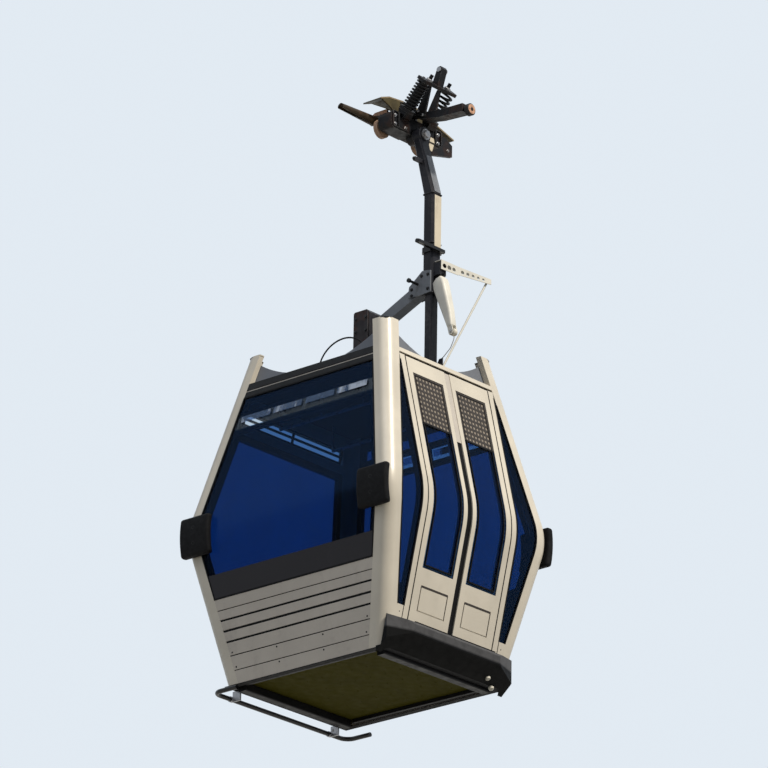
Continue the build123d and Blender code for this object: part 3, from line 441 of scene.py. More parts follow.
class Shape:
    """Collects the faces of one piece."""

    def __init__(self):
        self.points, self.faces = [], []

    def add(self, points, faces):
        start = len(self.points)
        self.points += [Vector(p) for p in points]
        self.faces += [[start + i for i in face] for face in faces]

    def rings(self, rings, close=False):
        """Skin over rings of equally many points, with a cap at each end unless they close."""
        n, count = len(rings[0]), len(rings)
        faces = []
        for r in range(count if close else count - 1):
            a, b = r * n, (r + 1) % count * n
            faces += [[a + i, a + (i + 1) % n, b + (i + 1) % n, b + i] for i in range(n)]
        if not close:
            faces += [list(range(n))[::-1], [(count - 1) * n + i for i in range(n)]]
        self.add([p for ring in rings for p in ring], faces)

    def turned(self, at, axis, profile, n=20):
        """A turned part: profile gives distance along the axis and radius."""
        turn = Matrix.Translation(at) @ turn_to(axis)
        circle = [Vector((math.cos(a), math.sin(a), 0)) for a in turns(n)]
        self.rings([[turn @ (p * r + AXIS_Z * along) for p in circle] for along, r in profile])

    def bolt(self, at, axis, r, h):
        """Washer and hexagon head."""
        self.turned(at, axis, [(-0.001, r * 1.35), (0.002, r * 1.35), (0.0025, r * 1.3)], 16)
        self.turned(at, axis, [(0.002, r), (h * 0.85, r), (h, r * 0.84)], 6)

    def dome(self, at, axis, r, h):
        """Pan head screw."""
        self.turned(at, axis, [(-0.001, r), (h * 0.3, r), (h * 0.75, r * 0.8), (h, r * 0.35)], 12)

    def wall_dome(self, side, u, z, r=0.0065, h=0.003):
        self.dome(on_wall(side, u, z), wall_normal(side, z), r, h)

    def prism(self, points, offset):
        """A flat outline, thickened by a vector."""
        points = [Vector(p) for p in points]
        self.rings([points, [p + Vector(offset) for p in points]])

    def slab(self, outline, x, thick):
        """A plate square to x: its outline in y and z, its face's x and its thickness."""
        self.prism([(x, y, z) for y, z in outline], (thick, 0, 0))

    def block(self, low, high):
        (x0, y0, z0), (x1, y1, z1) = low, high
        self.prism([(x0, y0, z0), (x1, y0, z0), (x1, y1, z0), (x0, y1, z0)], (0, 0, z1 - z0))

    def cabin_block(self, xs, ys, zs):
        """A block in the cabin's own measures, from its spans along x, y and z."""
        self.block(cabin(xs[0], ys[0], zs[0]), cabin(xs[1], ys[1], zs[1]))

    def tube(self, path, r, n=12, close=False):
        """A round tube along a path, its rings kept from twisting."""
        path = [Vector(p) for p in path]
        count = len(path)
        rings, last = [], None
        for i, p in enumerate(path):
            ahead = path[(i + 1) % count] if close or i < count - 1 else p
            back = path[i - 1] if close or i else p
            along = (ahead - back).normalized()
            side = (last - along * last.dot(along)).normalized() if last else along.orthogonal().normalized()
            last, up = side, along.cross(side)
            rings.append([p + (side * math.cos(a) + up * math.sin(a)) * r for a in turns(n)])
        self.rings(rings, close)

    def wall_plate(self, side, u0, u1, z0, z1, out, deep, steps=1):
        """A plate that follows the bent wall. u0 and u1 are numbers or functions of the height."""
        rings = []
        for i in range(steps + 1):
            z = z0 + (z1 - z0) * i / steps
            a, b = (u(z) if callable(u) else u for u in (u0, u1))
            rings.append([on_wall(side, a, z, -out), on_wall(side, b, z, -out), on_wall(side, b, z, deep),
                          on_wall(side, a, z, deep)])
        self.rings(rings)

    def wall_line(self, side, edge, z, tall, inset=0.0, out=0.0022, deep=0.004):
        """A level strip from post to post."""
        u = edge(z) - inset
        self.wall_plate(side, -u, u, z - tall / 2, z + tall / 2, out, deep)

    def post_strips(self, side, edge, z0, z1, wide=0.010, deep=0.004):
        """A gasket along each of the two corner posts of a wall."""
        for sign in SIDES:
            inner, outer = beside(edge, sign, -wide), beside(edge, sign, 0.001)
            self.wall_plate(side, inner, outer, z0, z1, 0.0022, deep, 40)

    def leaf_frame(self, sign, z0, z1, wide, out, steps, deep=0.010):
        """A strip all round inside the opening of a door leaf."""
        u0, u1 = leaf_span(sign, wide)
        for u in (u0 - wide, u1):
            self.wall_plate("D", u, u + wide, z0 - wide, z1 + wide, out, deep, steps)
        for z in (z0 - wide, z1):
            self.wall_plate("D", u0, u1, z, z + wide, out, deep)

    def plain(self, name, look):
        """The mesh object by itself, smooth between sharp edges."""
        mesh = bpy.data.meshes.new(name)
        mesh.from_pydata(self.points, [], self.faces)
        cleaned = bmesh.new()
        cleaned.from_mesh(mesh)
        bmesh.ops.remove_doubles(cleaned, verts=cleaned.verts, dist=MERGE_DISTANCE)
        bmesh.ops.recalc_face_normals(cleaned, faces=cleaned.faces)
        cleaned.to_mesh(mesh)
        cleaned.free()
        mesh.shade_smooth()
        mesh.set_sharp_from_angle(angle=SMOOTH_BELOW)
        mesh.materials.append(LOOKS[look])
        piece = bpy.data.objects.new(name, mesh)
        scene.collection.objects.link(piece)
        return piece

    def make(self, name, slot, body="cabin", look=None, bevel=0.0, segments=2, replaces=None):
        """The finished piece on its body. Its look is its slot's, unless another is named."""
        piece = self.plain(name, look or slot)
        if bevel:
            cut = piece.modifiers.new("edges", "BEVEL")
            cut.width, cut.segments, cut.limit_method = bevel, segments, "ANGLE"
            cut.angle_limit = BEVEL_ABOVE
        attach(piece, body)
        if replaces:
            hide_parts(replaces)


# Camera and light

CAMERA, TARGET, ROLL, LENS = Vector((-27.652, -24.529, -16.333)), Vector((0.02, 0.06, -1.97)), -0.9, 258
FLOOR_Z, FLOOR_HALF = CAMERA.z - 0.4, 150
SKY_LIGHT, SKY_SEEN = ((0.86, 0.91, 1.0, 1), 0.23), ((0.80, 0.87, 0.94, 1), 0.95)
FLOOR_LIT, FLOOR_SEEN = (0.12, 0.12, 0.11, 1), (0.80, 0.80, 0.78, 1)


def set_camera():
    """A long lens at floor level that looks up at the cabin."""
    camera = bpy.data.objects.new("camera", bpy.data.cameras.new("camera"))
    scene.collection.objects.link(camera)
    forward = (TARGET - CAMERA).normalized()
    tilt = Matrix.Rotation(math.radians(ROLL), 4, forward)
    aim = forward.to_track_quat("-Z", "Y").to_matrix().to_4x4()
    camera.matrix_world = Matrix.Translation(CAMERA) @ tilt @ aim
    camera.data.sensor_width, camera.data.lens, camera.data.clip_end = 36, LENS, 400
    scene.camera = camera


def lamp(name, at, energy, size, colour):
    """A soft sun that shines from a direction towards the middle of the part."""
    sun = bpy.data.objects.new(name, bpy.data.lights.new(name, "SUN"))
    sun.data.energy, sun.data.angle, sun.data.color = energy, math.radians(size), colour
    sun.rotation_euler = Vector(at).to_track_quat("Z", "Y").to_euler()
    scene.collection.objects.link(sun)


def studio():
    """Two suns, a pale sky that lights softly, and a pale floor."""
    lamp("key", (0.02, -0.68, 0.73), 3.5, 5, (1.0, 0.94, 0.84))
    lamp("fill", (-0.62, -0.05, 0.78), 0.60, 40, (0.86, 0.91, 1.0))
    sky = Tree("studio", "worlds")
    light, seen = (sky.add("ShaderNodeBackground", Color=colour, Strength=strength).outputs[0]
                   for colour, strength in (SKY_LIGHT, SKY_SEEN))
    scene.world = sky.show(sky.mix_shaders(sky.seen_rays(), light, seen), "World")
    t = Tree("floor")
    floor = bpy.data.objects.new("floor", bpy.data.meshes.new("floor"))
    corners = [(x * FLOOR_HALF, y * FLOOR_HALF, FLOOR_Z) for x, y in ((-1, -1), (1, -1), (1, 1), (-1, 1))]
    floor.data.from_pydata(corners, [], [(0, 1, 2, 3)])
    floor.data.materials.append(t.finish(t.mix(t.seen_rays(), FLOOR_LIT, FLOOR_SEEN), 0.8))
    scene.collection.objects.link(floor)
    scene.view_settings.view_transform = "Standard"


# Cabin shell

def end_trim(side):
    """Gaskets, screws, dark grooves, bare band, vent flaps and header line of one end."""
    tag = side.lower()
    gaskets = Shape()
    for z in (END_SKIRT_TOP, END_HEADER_FOOT):
        gaskets.wall_line(side, end_edge, z, 0.012)
    gaskets.post_strips(side, end_edge, END_SKIRT_TOP, END_HEADER_FOOT)
    gaskets.make("end_gaskets_" + tag, "black_rubber")

    screws = Shape()
    for z, _ in GROOVES[-2:]:
        for sign in SIDES:
            screws.wall_dome(side, sign * (end_edge(z) - 0.022), z + 0.022)
            screws.wall_dome(side, sign * 0.33 * end_edge(z), z - 0.020)
    screws.make("skirt_screws_" + tag, "black_frame")

    grooves = Shape()
    for z, tall in GROOVES:
        grooves.wall_line(side, end_edge, z, tall - 0.001, 0.001, -0.0035, 0.0088)
    grooves.make("skirt_grooves_" + tag, "black_rubber")

    band = Shape()
    left, right = beside(end_edge, -1, -0.010), beside(end_edge, 1, -0.010)
    band.wall_plate(side, left, right, END_SKIRT_TOP + 0.006, BAND_TOP, 0.0007, -0.0001, 6)
    band.make("bare_band_" + tag, "black_frame", look="bare_band")

    # The flaps' pale patches are painted glints
    flaps = Shape()
    for u0, u1 in ((-0.60, -0.32), (-0.29, -0.02), (0.02, 0.29), (0.32, 0.60)):
        flaps.wall_plate(side, u0, u1, 1.948, 1.996, 0.0035, -0.0010)
    flaps.make("vent_flaps_" + tag, "tinted_glass", look="vent_flap_painted_glints")

    line = Shape()
    line.wall_line(side, end_edge, END_HEADER_FOOT + 0.051, 0.007, 0.004, -0.004, 0.009)
    line.make("header_line_" + tag, "silver_panel")


def door_joints():
    """Dark joints between leaves, pillars, fixed windows and posts of the door side."""
    joints = Shape()
    pillar = DOOR_HALF + PILLAR
    # middle, half width, foot, top, how far it stands out, steps up the wall
    rows = ((DOOR_HALF, 0.0045, LEAF_FOOT, LEAF_TOP, 0.0014, 48),
            (pillar, 0.006, SIDE_SILL, PILLAR_TOP, 0.0014, 48),
            (pillar, 0.003, 0.0, SIDE_SILL, 0.0012, 6))
    for sign in SIDES:
        for u, wide, foot, top, out, steps in rows:
            joints.wall_plate("D", sign * (u - wide), sign * (u + wide), foot, top, out, 0.003, steps)
    joints.post_strips("D", side_edge, SIDE_SILL, SIDE_TOP, 0.009, 0.003)
    joints.make("door_joint_strips", "black_rubber")


def leaf_trim():
    """Window gaskets of both leaves, dark strips along the recess's top and sides that are painted shadow,
    and a pale sheet behind the grille that is painted light seen through its holes.
    """
    gaskets, lines, lit_backing = Shape(), Shape(), Shape()
    for sign in SIDES:
        gaskets.leaf_frame(sign, LEAF_SILL + 0.009, GRILLE_FOOT - 0.012, 0.009, 0.001, 30)
        gaskets.leaf_frame(sign, GRILLE_FOOT + 0.002, GRILLE_TOP - 0.006, 0.006, -0.001, 4)
        # Painted shadow: dark strips along the recess's top edge and both sides
        a, b = leaf_span(sign, 0.002)
        lines.wall_plate("D", a, b, RECESS_TOP - 0.010, RECESS_TOP + 0.005, 0.0008, 0.001)
        for u in (a - 0.003, b - 0.001):
            lines.wall_plate("D", u, u + 0.004, RECESS_FOOT, RECESS_TOP, 0.0006, 0.001)
        # Painted light: a pale sheet just behind the grille, so its holes look lit
        a, b = leaf_span(sign, -0.004)
        lit_backing.wall_plate("D", a, b, GRILLE_FOOT + 0.004, GRILLE_TOP - 0.002, -0.0055, 0.0075, 6)
    gaskets.make("leaf_gaskets", "black_rubber")
    lines.make("recess_painted_shadow", "vent_grille")
    lit_backing.make("grille_lining", "vent_grille", look="grille_lining")


def door_seals():
    """Seal below the header, the cover over the leaves' seal, and the locks in the corner panels."""
    seal = Shape()
    edge = side_edge(HEADER_FOOT)
    seal.wall_plate("D", -edge, edge, LEAF_TOP + 0.006, HEADER_FOOT - 0.001, -0.012, 0.0155)
    seal.make("header_seal", "black_rubber")
    cover = Shape()
    cover.wall_plate("D", 0.007 - SEAL_HALF, SEAL_HALF - 0.001, 1.655, LEAF_TOP - 0.003, -0.004, 0.0095, 12)
    cover.make("seal_cover", "silver_panel", bevel=0.001)
    locks = Shape()
    lock_z, ring = 0.203, [(-0.001, 0.012), (0.001, 0.012), (0.0015, 0.010), (0.0004, 0.007), (0.0004, 0.001)]
    for u in (-0.545, 0.545):
        locks.turned(on_wall("D", u, lock_z), wall_normal("D", lock_z), ring)
        for z in (0.262, 0.14):
            locks.wall_dome("D", u, z, 0.0045, 0.002)
    locks.make("corner_locks", "black_frame")


def post_caps():
    """Angled plates that close the posts' tops."""
    x, y = half(LENGTHS, POST_TOP), half(WIDTHS, POST_TOP)
    wall, face, bend, corner = 0.044, 0.128, 0.052, 0.015
    outline = [(x, y - bend), (x - corner, y - corner), (x - bend, y), (x - face, y), (x - face, y - wall),
               (x - wall, y - wall), (x - wall, y - face), (x, y - face)]
    caps = Shape()
    for sx in SIDES:
        for sy in SIDES:
            caps.prism([cabin(sx * px * 0.998, sy * py * 0.998, POST_TOP - 0.012) for px, py in outline],
                       (0, 0, 0.0115))
    caps.make("post_caps", "black_frame", bevel=0.002)


def rear_trim():
    """Gaskets, vent blades and the bare plate of the closed side."""
    gaskets = Shape()
    for z in (REAR_SKIRT_TOP, RAIL_FOOT, SLOT_FOOT, SLOT_TOP):
        gaskets.wall_line("S", side_edge, z, 0.010, out=0.002)
    gaskets.post_strips("S", side_edge, REAR_SKIRT_TOP, RAIL_FOOT)
    gaskets.make("rear_gaskets", "black_rubber")

    vent = Shape()
    ends, foot, top = side_edge(SLOT_TOP) - 0.002, SLOT_FOOT + 0.001, SLOT_TOP - 0.001
    for z, tall in ((foot, 0.013), ((foot + top) / 2 - 0.006, 0.012), (top - 0.013, 0.013)):
        vent.wall_plate("S", -ends, ends, z, z + tall, -0.026, 0.045)
    for u in (-ends, -0.007, ends - 0.014):
        vent.wall_plate("S", u, u + 0.014, foot, top, -0.027, 0.045)
    vent.make("rear_vent_blades", "black_frame", bevel=0.0015, replaces="rear_vent")

    plate = Shape()
    plate.wall_plate("S", -0.54, -0.27, 0.436, 0.490, 0.003, 0.001, 2)
    plate.make("bare_plate", "white_paint", look="bare_plate", bevel=0.001)


def bumper_pads():
    """Rounded pads at the waist's corners, with two sunk bolts each."""
    pad_out, pad_in, stands_out = half(WIDTHS, WAIST) + 0.003, half(WIDTHS, WAIST) - 0.270, 0.0578
    foot, top = 0.940, 1.235
    sunk = [(-0.002, 0.015), (0.0004, 0.015), (0.0008, 0.010), (-0.001, 0.009)]
    pads, bolts = Shape(), Shape()
    for side in "AB":
        for sign in SIDES:
            pads.wall_plate(side, sign * pad_in, sign * pad_out, foot, top, stands_out, -0.0006, 14)
            for z in (1.03, 1.145):
                at = on_wall(side, sign * (pad_in + pad_out) / 2, z, -stands_out)
                bolts.turned(at, wall_normal(side, z), sunk)
    pads.make("rubber_pads", "black_rubber", bevel=0.020, segments=4, replaces="bumper_pads")
    bolts.make("pad_bolts", "black_frame")


def step_trim():
    """Tread lines on the step, and two white stops at its end."""
    tread, wide = Shape(), half(WIDTHS, STEP_HEIGHT)
    for i in range(9):
        y = -wide - 0.010 - i * 0.006
        tread.cabin_block((-0.43, 0.43), (y - 0.002, y + 0.002),
                          (STEP_HEIGHT - 0.0145 + i * 0.0008, STEP_HEIGHT - 0.0125))
    tread.make("step_treads", "black_rubber")
    stops = Shape()
    knob = [(-0.03, 0.009), (0.0, 0.009), (0.002, 0.017), (0.012, 0.021), (0.024, 0.018), (0.030, 0.009),
            (0.031, 0.001)]
    for place in ((0.43, -0.775, 0.040), (0.515, -0.735, -0.004)):
        stops.turned(cabin(*place), (0.1, -0.45, -0.9), knob)
    stops.make("step_stops", "white_roller")


def underside():
    """Beams, trim and rivets below the floor, and the guide rail's clamps."""
    beams = Shape()
    beam_x, beam_end, floor_z = 0.575, 0.610, 0.0335
    for x in (-beam_x, beam_x):
        beams.cabin_block((x - 0.020, x + 0.020), (-beam_end, beam_end), (0.004, floor_z))
    beams.make("floor_beams", "black_frame", bevel=0.003)

    trim, strip, heights = Shape(), 0.052, (-0.0045, -0.0003)
    long, wide = half(LENGTHS, 0) - 0.001, half(WIDTHS, 0) - 0.001
    for sign in SIDES:
        trim.cabin_block((-long, long), (sign * wide, sign * (wide - strip)), heights)
        trim.cabin_block((sign * long, sign * (long - strip)), (strip - wide, wide - strip), heights)
    trim.make("bottom_trim", "black_rubber")

    rivets = Shape()
    for x in (-0.46, -0.29, -0.09, 0.09, 0.29, 0.46):
        for k in range(9):
            rivets.dome(cabin(x, -0.56 + k * 0.14, floor_z), (0, 0, -1), 0.005, 0.0025)
    rivets.make("floor_rivets", "floor_paint")

    clamps = Shape()
    for sign in SIDES:
        x = sign * 0.5215
        clamps.bolt(cabin(x - sign * 0.0052, 0.760, -0.030), (-sign, 0, 0), 0.008, 0.007)
        clamps.turned(cabin(x - 0.012, 0.796, -0.052), AXIS_X, [(0, 0.0215), (0.024, 0.0215)], 24)
    clamps.make("rail_clamps", "zinc_steel", bevel=0.002)


# Roof

def roof_top():
    """Ribs, lifting eyes, a bent hoop and the rails along the roof's edges."""
    ribs = Shape()
    for x in (-0.40, -0.20, 0.20, 0.40):
        ribs.cabin_block((x - 0.016, x + 0.016), (-0.37, 0.37), (ROOF_LINE + 0.041, ROOF_LINE + 0.050))
    ribs.make("roof_ribs", "roof_paint", bevel=0.004)

    eyes = Shape()
    for sx in SIDES:
        for sy in SIDES:
            at = cabin(sx * 0.50, sy * 0.55, ROOF_LINE - 0.006)
            eyes.turned(at, AXIS_Z, [(0, 0.030), (0.006, 0.030), (0.008, 0.012), (0.016, 0.010)])
            circle = [Vector((0.021 * math.cos(a), 0, 0.036 + 0.021 * math.sin(a))) for a in turns(24)]
            eyes.tube([at + p for p in circle], 0.005, 10, close=True)
    eyes.make("roof_eyes", "zinc_steel")

    hoop = Shape()
    hoop.tube([cabin(-0.50, -0.19 + 0.23 * math.cos(a), ROOF_LINE - 0.004 + 0.20 * math.sin(a))
               for a in turns(56)[:29]], 0.006, 10)
    hoop.make("roof_hoop", "black_rubber")

    rails, end = Shape(), half(LENGTHS, ROOF_LINE) - 0.16
    for y in (0.052 - half(WIDTHS, ROOF_LINE), half(WIDTHS, ROOF_LINE) - 0.052):
        rails.tube([cabin(-end, y, ROOF_LINE + 0.016), cabin(end, y, ROOF_LINE + 0.016)], 0.009)
        for k in (-0.9, -0.3, 0.3, 0.9):
            rails.turned(cabin(k * end, y, ROOF_LINE - 0.007), AXIS_Z, [(0, 0.008), (0.02, 0.008)], 12)
    rails.make("roof_edge_rails", "dark_tube")


def roof_linkage():
    """The door's linkage along the closed side of the roof: a box, four bearings and a rod."""
    link, y, foot = Shape(), half(WIDTHS, ROOF_LINE) - 0.110, ROOF_LINE - 0.008
    link.cabin_block((-0.11, 0.03), (y - 0.035, y + 0.035), (foot, foot + 0.070))
    for x in (-0.40, -0.24, 0.16, 0.31):
        link.cabin_block((x - 0.022, x + 0.022), (y - 0.020, y + 0.020), (foot, foot + 0.048))
        link.bolt(cabin(x, y, ROOF_LINE + 0.0395), AXIS_Z, 0.009, 0.012)
    link.tube([cabin(-0.42, y, ROOF_LINE + 0.022), cabin(0.33, y, ROOF_LINE + 0.022)], 0.008)
    link.make("roof_linkage", "black_frame", bevel=0.003)


def roof_corners():
    """Panels that curve down from each post's top to the roof."""
    panels, low, steps = Shape(), ROOF_LINE - 0.010, 10
    run, rise, bend, outer, inner = 0.46, 0.180, 1.7, 0.0475, 0.0535
    for side, edge in (("A", end_edge), ("B", end_edge), ("D", side_edge), ("S", side_edge)):
        for sign in SIDES:
            rings = []
            for k in range(steps + 1):
                share = k / steps
                u = sign * (edge(ROOF_LINE) + 0.004 - run * share)
                top = ROOF_LINE + 0.004 + rise * (1 - share) ** bend
                rings.append([on_wall(side, u, z, inset)
                              for z, inset in ((low, outer), (top, outer), (top, inner), (low, inner))])
            panels.rings(rings)
    panels.make("roof_corners", "roof_paint")


# Inside

def ceiling_and_rails():
    """The ceiling with its middle box, and two grab rails hung from it."""
    top = ROOF_LINE - 0.051
    long, wide = half(LENGTHS, top) - 0.054, half(WIDTHS, top) - 0.054
    rail_z, rail_end = 2.02, 0.60
    ceiling = Shape()
    ceiling.cabin_block((-long, long), (-wide, wide), (top - 0.008, top))
    ceiling.cabin_block((-0.30, 0.30), (-0.06, 0.06), (top - 0.022, top - 0.008))
    ceiling.make("ceiling", "seat_panel", look="ceiling_panel", bevel=0.004)
    rails = Shape()
    for x in (-0.285, 0.285):
        rails.tube([cabin(x, -rail_end, rail_z), cabin(x, rail_end, rail_z)], 0.014, 14)
        for y in (-rail_end, -0.2, 0.2, rail_end):
            rails.tube([cabin(x, y, rail_z), cabin(x, y, top - 0.004)], 0.008, 10)
    rails.make("grab_rails", "zinc_steel")


SWELL, FRAMES, SEATS = 0.016, 16, 4
PAD_MARGIN, PAD_VOXEL, SEAM_DEPTH, SEAM_WIDTH, CROWN = 0.009, 0.014, 0.013, 0.012, 0.006


def swollen(pad):
    """Where the cloth simulation moves the points of a pad."""
    cloth = pad.modifiers.new("cloth", "CLOTH")
    cloth.settings.use_pressure, cloth.settings.uniform_pressure_force = True, 4
    cloth.settings.effector_weights.gravity = 0
    cloth.point_cache.frame_start, cloth.point_cache.frame_end = 1, FRAMES
    for number in range(1, FRAMES + 1):
        scene.frame_set(number)
    blown = bpy.data.meshes.new_from_object(pad.evaluated_get(bpy.context.evaluated_depsgraph_get()))
    pad.modifiers.clear()
    scene.frame_set(1)
    return [v.co.copy() for v in blown.vertices]


def padded_bench(name, node):
    """A crowned bench cushion, blown up by cloth simulation and sewn into seats."""
    low, high = (Vector(corner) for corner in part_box(node))
    core = Shape()
    core.block(low + Vector((PAD_MARGIN, PAD_MARGIN, 0.002)), high - Vector((PAD_MARGIN, PAD_MARGIN, 0.012)))
    pad = core.plain(name, "seat_vinyl")
    bpy.context.view_layer.objects.active = pad
    voxels = pad.modifiers.new("voxels", "REMESH")
    voxels.mode, voxels.voxel_size = "VOXEL", PAD_VOXEL
    flesh = bpy.data.meshes.new_from_object(pad.evaluated_get(bpy.context.evaluated_depsgraph_get()))
    pad.modifiers.clear()
    pad.data = flesh
    rest = [v.co.copy() for v in flesh.vertices]
    span = (high.y - low.y) / SEATS
    for vertex, start, end in zip(flesh.vertices, rest, swollen(pad)):
        shift = end - start
        if shift.length > SWELL:
            shift *= SWELL / shift.length
        point = start + shift
        if point.z > (low.z + high.z) / 2:
            seat = (point.y - low.y) / span
            point.z -= SEAM_DEPTH * math.exp(-((seat - round(seat)) * span / SEAM_WIDTH) ** 2)
            across = (point.x - low.x) / (high.x - low.x)
            point.z += CROWN * (math.sin(math.pi * across) if 0 < across < 1 else 0)
        vertex.co = [min(max(c, a - 0.004), b + 0.004) for c, a, b in zip(point, low, high)]
        vertex.co.z = max(vertex.co.z, low.z + 0.0005)
    flesh.shade_smooth()
    flesh.materials.clear()
    flesh.materials.append(LOOKS["seat_vinyl"])
    finer = pad.modifiers.new("finer", "SUBSURF")
    finer.levels = finer.render_levels = 1
    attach(pad, "cabin")
    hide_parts(node)


# Hanger

def hanger_trim():
    """Weld beads round the tube, and two pale plates on its front that are a painted highlight of its sunlit
    face: a cream one on the straight part, a zinc-grey strip on the leaning part.
    """
    beads = Shape()
    for z in (-0.622, -1.012, JOINT_Z - 0.092):
        beads.tube(rounded_ring(Vector((0, HANGER_Y, z)), AXIS_X, Vector((0, 1, 0)), HANGER_HALF_X + 0.001,
                                HANGER_HALF_Y + 0.001, 0.013), 0.005, 8, close=True)
    beads.make("hanger_welds", "hanger_paint")

    # Painted highlight: the straight part's sunlit front as a cream plate
    sunlit_face = Shape()
    sunlit_face.block((-0.034, HANGER_FRONT - 0.007, -1.043), (0.036, HANGER_FRONT - 0.0003, -0.640))
    sunlit_face.make("hanger_painted_sunlit_face", "hanger_paint", look="cream_plate", bevel=0.002)

    # Painted highlight: a zinc-grey strip on the leaning part's sunlit front
    slope = (LEAN_FOOT[0] - LEAN_TOP[0]) / (LEAN_FOOT[1] - LEAN_TOP[1])
    corners = ((-0.030, -0.30), (0.032, -0.30), (0.036, -0.612), (-0.034, -0.612))
    outline = [(x, LEAN_TOP[0] + slope * (z - LEAN_TOP[1]) - 0.001, z) for x, z in corners]
    strip = Shape()
    strip.prism(outline, (0, -0.006, -0.001))
    strip.make("hanger_painted_highlight", "hanger_paint", look="zinc_and_painted_highlight", bevel=0.002)


def hanger_joint():
    """Gusset plates, cross pins, and all bolts of the hanger."""
    gussets, bolts = Shape(), Shape()
    for sx in SIDES:
        gussets.slab(((-0.442, -1.235), (-0.360, -1.222), (-0.235, -1.318), (-0.225, -1.40), (-0.330, -1.408),
                      (-0.442, -1.402)), sx * 0.0505, sx * 0.008)
        for y, z in ((-0.415, -1.262), (-0.415, -1.372), (-0.355, -1.262), (-0.262, -1.345),
                     (-0.262, -1.392)):
            bolts.bolt((sx * 0.0585, y, z), (sx, 0, 0), 0.010, 0.010)
        for y, z in ((0.082, -1.50), (0.178, -1.50), (0.082, -1.60), (0.178, -1.60), (0.13, -1.72)):
            bolts.bolt((sx * 0.1665, y, z), (sx, 0, 0), 0.011, 0.010)
        bolts.bolt((sx * 0.062, -0.458, -1.065), (0, -1, 0), 0.009, 0.010)
        for y in (-0.43, -0.352):
            bolts.bolt((sx * 0.09, y, ROOF_Z + 0.014), AXIS_Z, 0.010, 0.010)
    gussets.make("joint_gussets", "hanger_paint", look="zinc_and_painted_highlight", bevel=0.002)

    pins = Shape()
    # start, way along x, sides, profile
    for at, way, n, profile in (
            ((-0.058, -0.318, -1.316), -1, 16,
             ((0, 0.010), (0.088, 0.010), (0.089, 0.017), (0.103, 0.017), (0.105, 0.014))),
            ((-0.135, -0.336, -0.356), -1, 6,
             ((-0.004, 0.014), (0.006, 0.014), (0.007, 0.010), (0.012, 0.009))),
            ((-0.240, -0.466, -1.071), -1, 12, ((-0.012, 0.016), (0.004, 0.016), (0.006, 0.012))),
            ((0.050, -0.466, -1.071), 1, 12, ((-0.012, 0.014), (0.004, 0.014), (0.006, 0.010)))):
        pins.turned(at, (way, 0, 0), profile, n)
    pins.make("hanger_pins", "dark_tube")
    bolts.make("hanger_bolts", "zinc_steel", look="dark_tube")


def suspension():
    """Cheeks and rubber blocks of the suspension head, the leg's bracket and the control's wire."""
    cheeks = Shape()
    for sx in SIDES:
        cheeks.slab(((0.062, -1.452), (0.075, -1.441), (0.188, -1.441), (0.199, -1.452), (0.199, -1.76),
                     (0.16, -1.80), (0.10, -1.80), (0.062, -1.76)), sx * 0.1555, sx * 0.011)
    cheeks.make("suspension_cheeks", "hanger_paint", look="rusty_plate", bevel=0.002)
    rubbers = Shape()
    for z in (-1.83, -1.875, -1.92):
        rubbers.block((-0.160, 0.050, z), (0.160, 0.210, z + 0.028))
    rubbers.make("suspension_rubbers", "black_rubber", bevel=0.006)
    bracket = Shape()
    bracket.slab(((-0.437, ROOF_Z + 0.014), (-0.437, -1.93), (-0.455, -1.90), (-0.487, -1.90),
                  (-0.487, ROOF_Z + 0.014)), 0.030, 0.008)
    bracket.make("leg_bracket", "hanger_paint", bevel=0.001)
    wire = Shape()
    wire.tube([(0.034, -0.470, -1.905), (0.030, -0.500, -1.893), (0.015, -0.575, -1.85),
               (0.006, -0.612, -1.80), (0.004, -0.618, -1.778)], 0.003, 8)
    wire.make("control_wire", "zinc_steel")


# Door control

def on_lever(x, y, up=0.0):
    """A point of the sloping door lever: along it, across it and above it."""
    cos, sin = math.cos(LEVER_FALL), math.sin(LEVER_FALL)
    return Vector((x * cos + up * sin, LEVER_Y + y, LEVER_Z - x * sin + up * cos))


def drilled_plate(outline, holes, thick):
    """A plate with round holes, from a filled curve."""
    curve = bpy.data.curves.new("plate_outline", "CURVE")
    curve.dimensions, curve.fill_mode, curve.extrude = "2D", "BOTH", thick / 2
    rounds = [[(x + r * math.cos(a), y + r * math.sin(a)) for a in turns(18)] for x, y, r in holes]
    for loop in [outline] + rounds:
        spline = curve.splines.new("POLY")
        spline.points.add(len(loop) - 1)
        for point, (x, y) in zip(spline.points, loop):
            point.co = (x, y, 0, 1)
        spline.use_cyclic_u = True
    flat = bpy.data.objects.new("plate_outline", curve)
    scene.collection.objects.link(flat)
    bpy.context.view_layer.update()
    mesh = bpy.data.meshes.new_from_object(flat.evaluated_get(bpy.context.evaluated_depsgraph_get()))
    bpy.data.objects.remove(flat)
    return mesh


def add_web(lever, start, end, heights, holes):
    """An upright web from start to end, its height at both, and its holes' distances and radii."""
    long, (near, far), down = math.dist(start, end), heights, 0.56
    rounds = [(at, -down * (near * (1 - at / long) + far * at / long), r) for at, r in holes]
    web = drilled_plate([(0, 0), (long, 0), (long, -far), (0, -near)], rounds, 0.005)
    along = Vector((end[0] - start[0], end[1] - start[1], 0)).normalized()
    out = Vector((along.y, -along.x, 0))
    points = [on_lever(*(Vector((*start, 0)) + along * v.co.x).xy, 0.009) + AXIS_Z * v.co.y
              + out * (v.co.z + 0.0026) for v in web.vertices]
    lever.add(points, [list(face.vertices) for face in web.polygons])


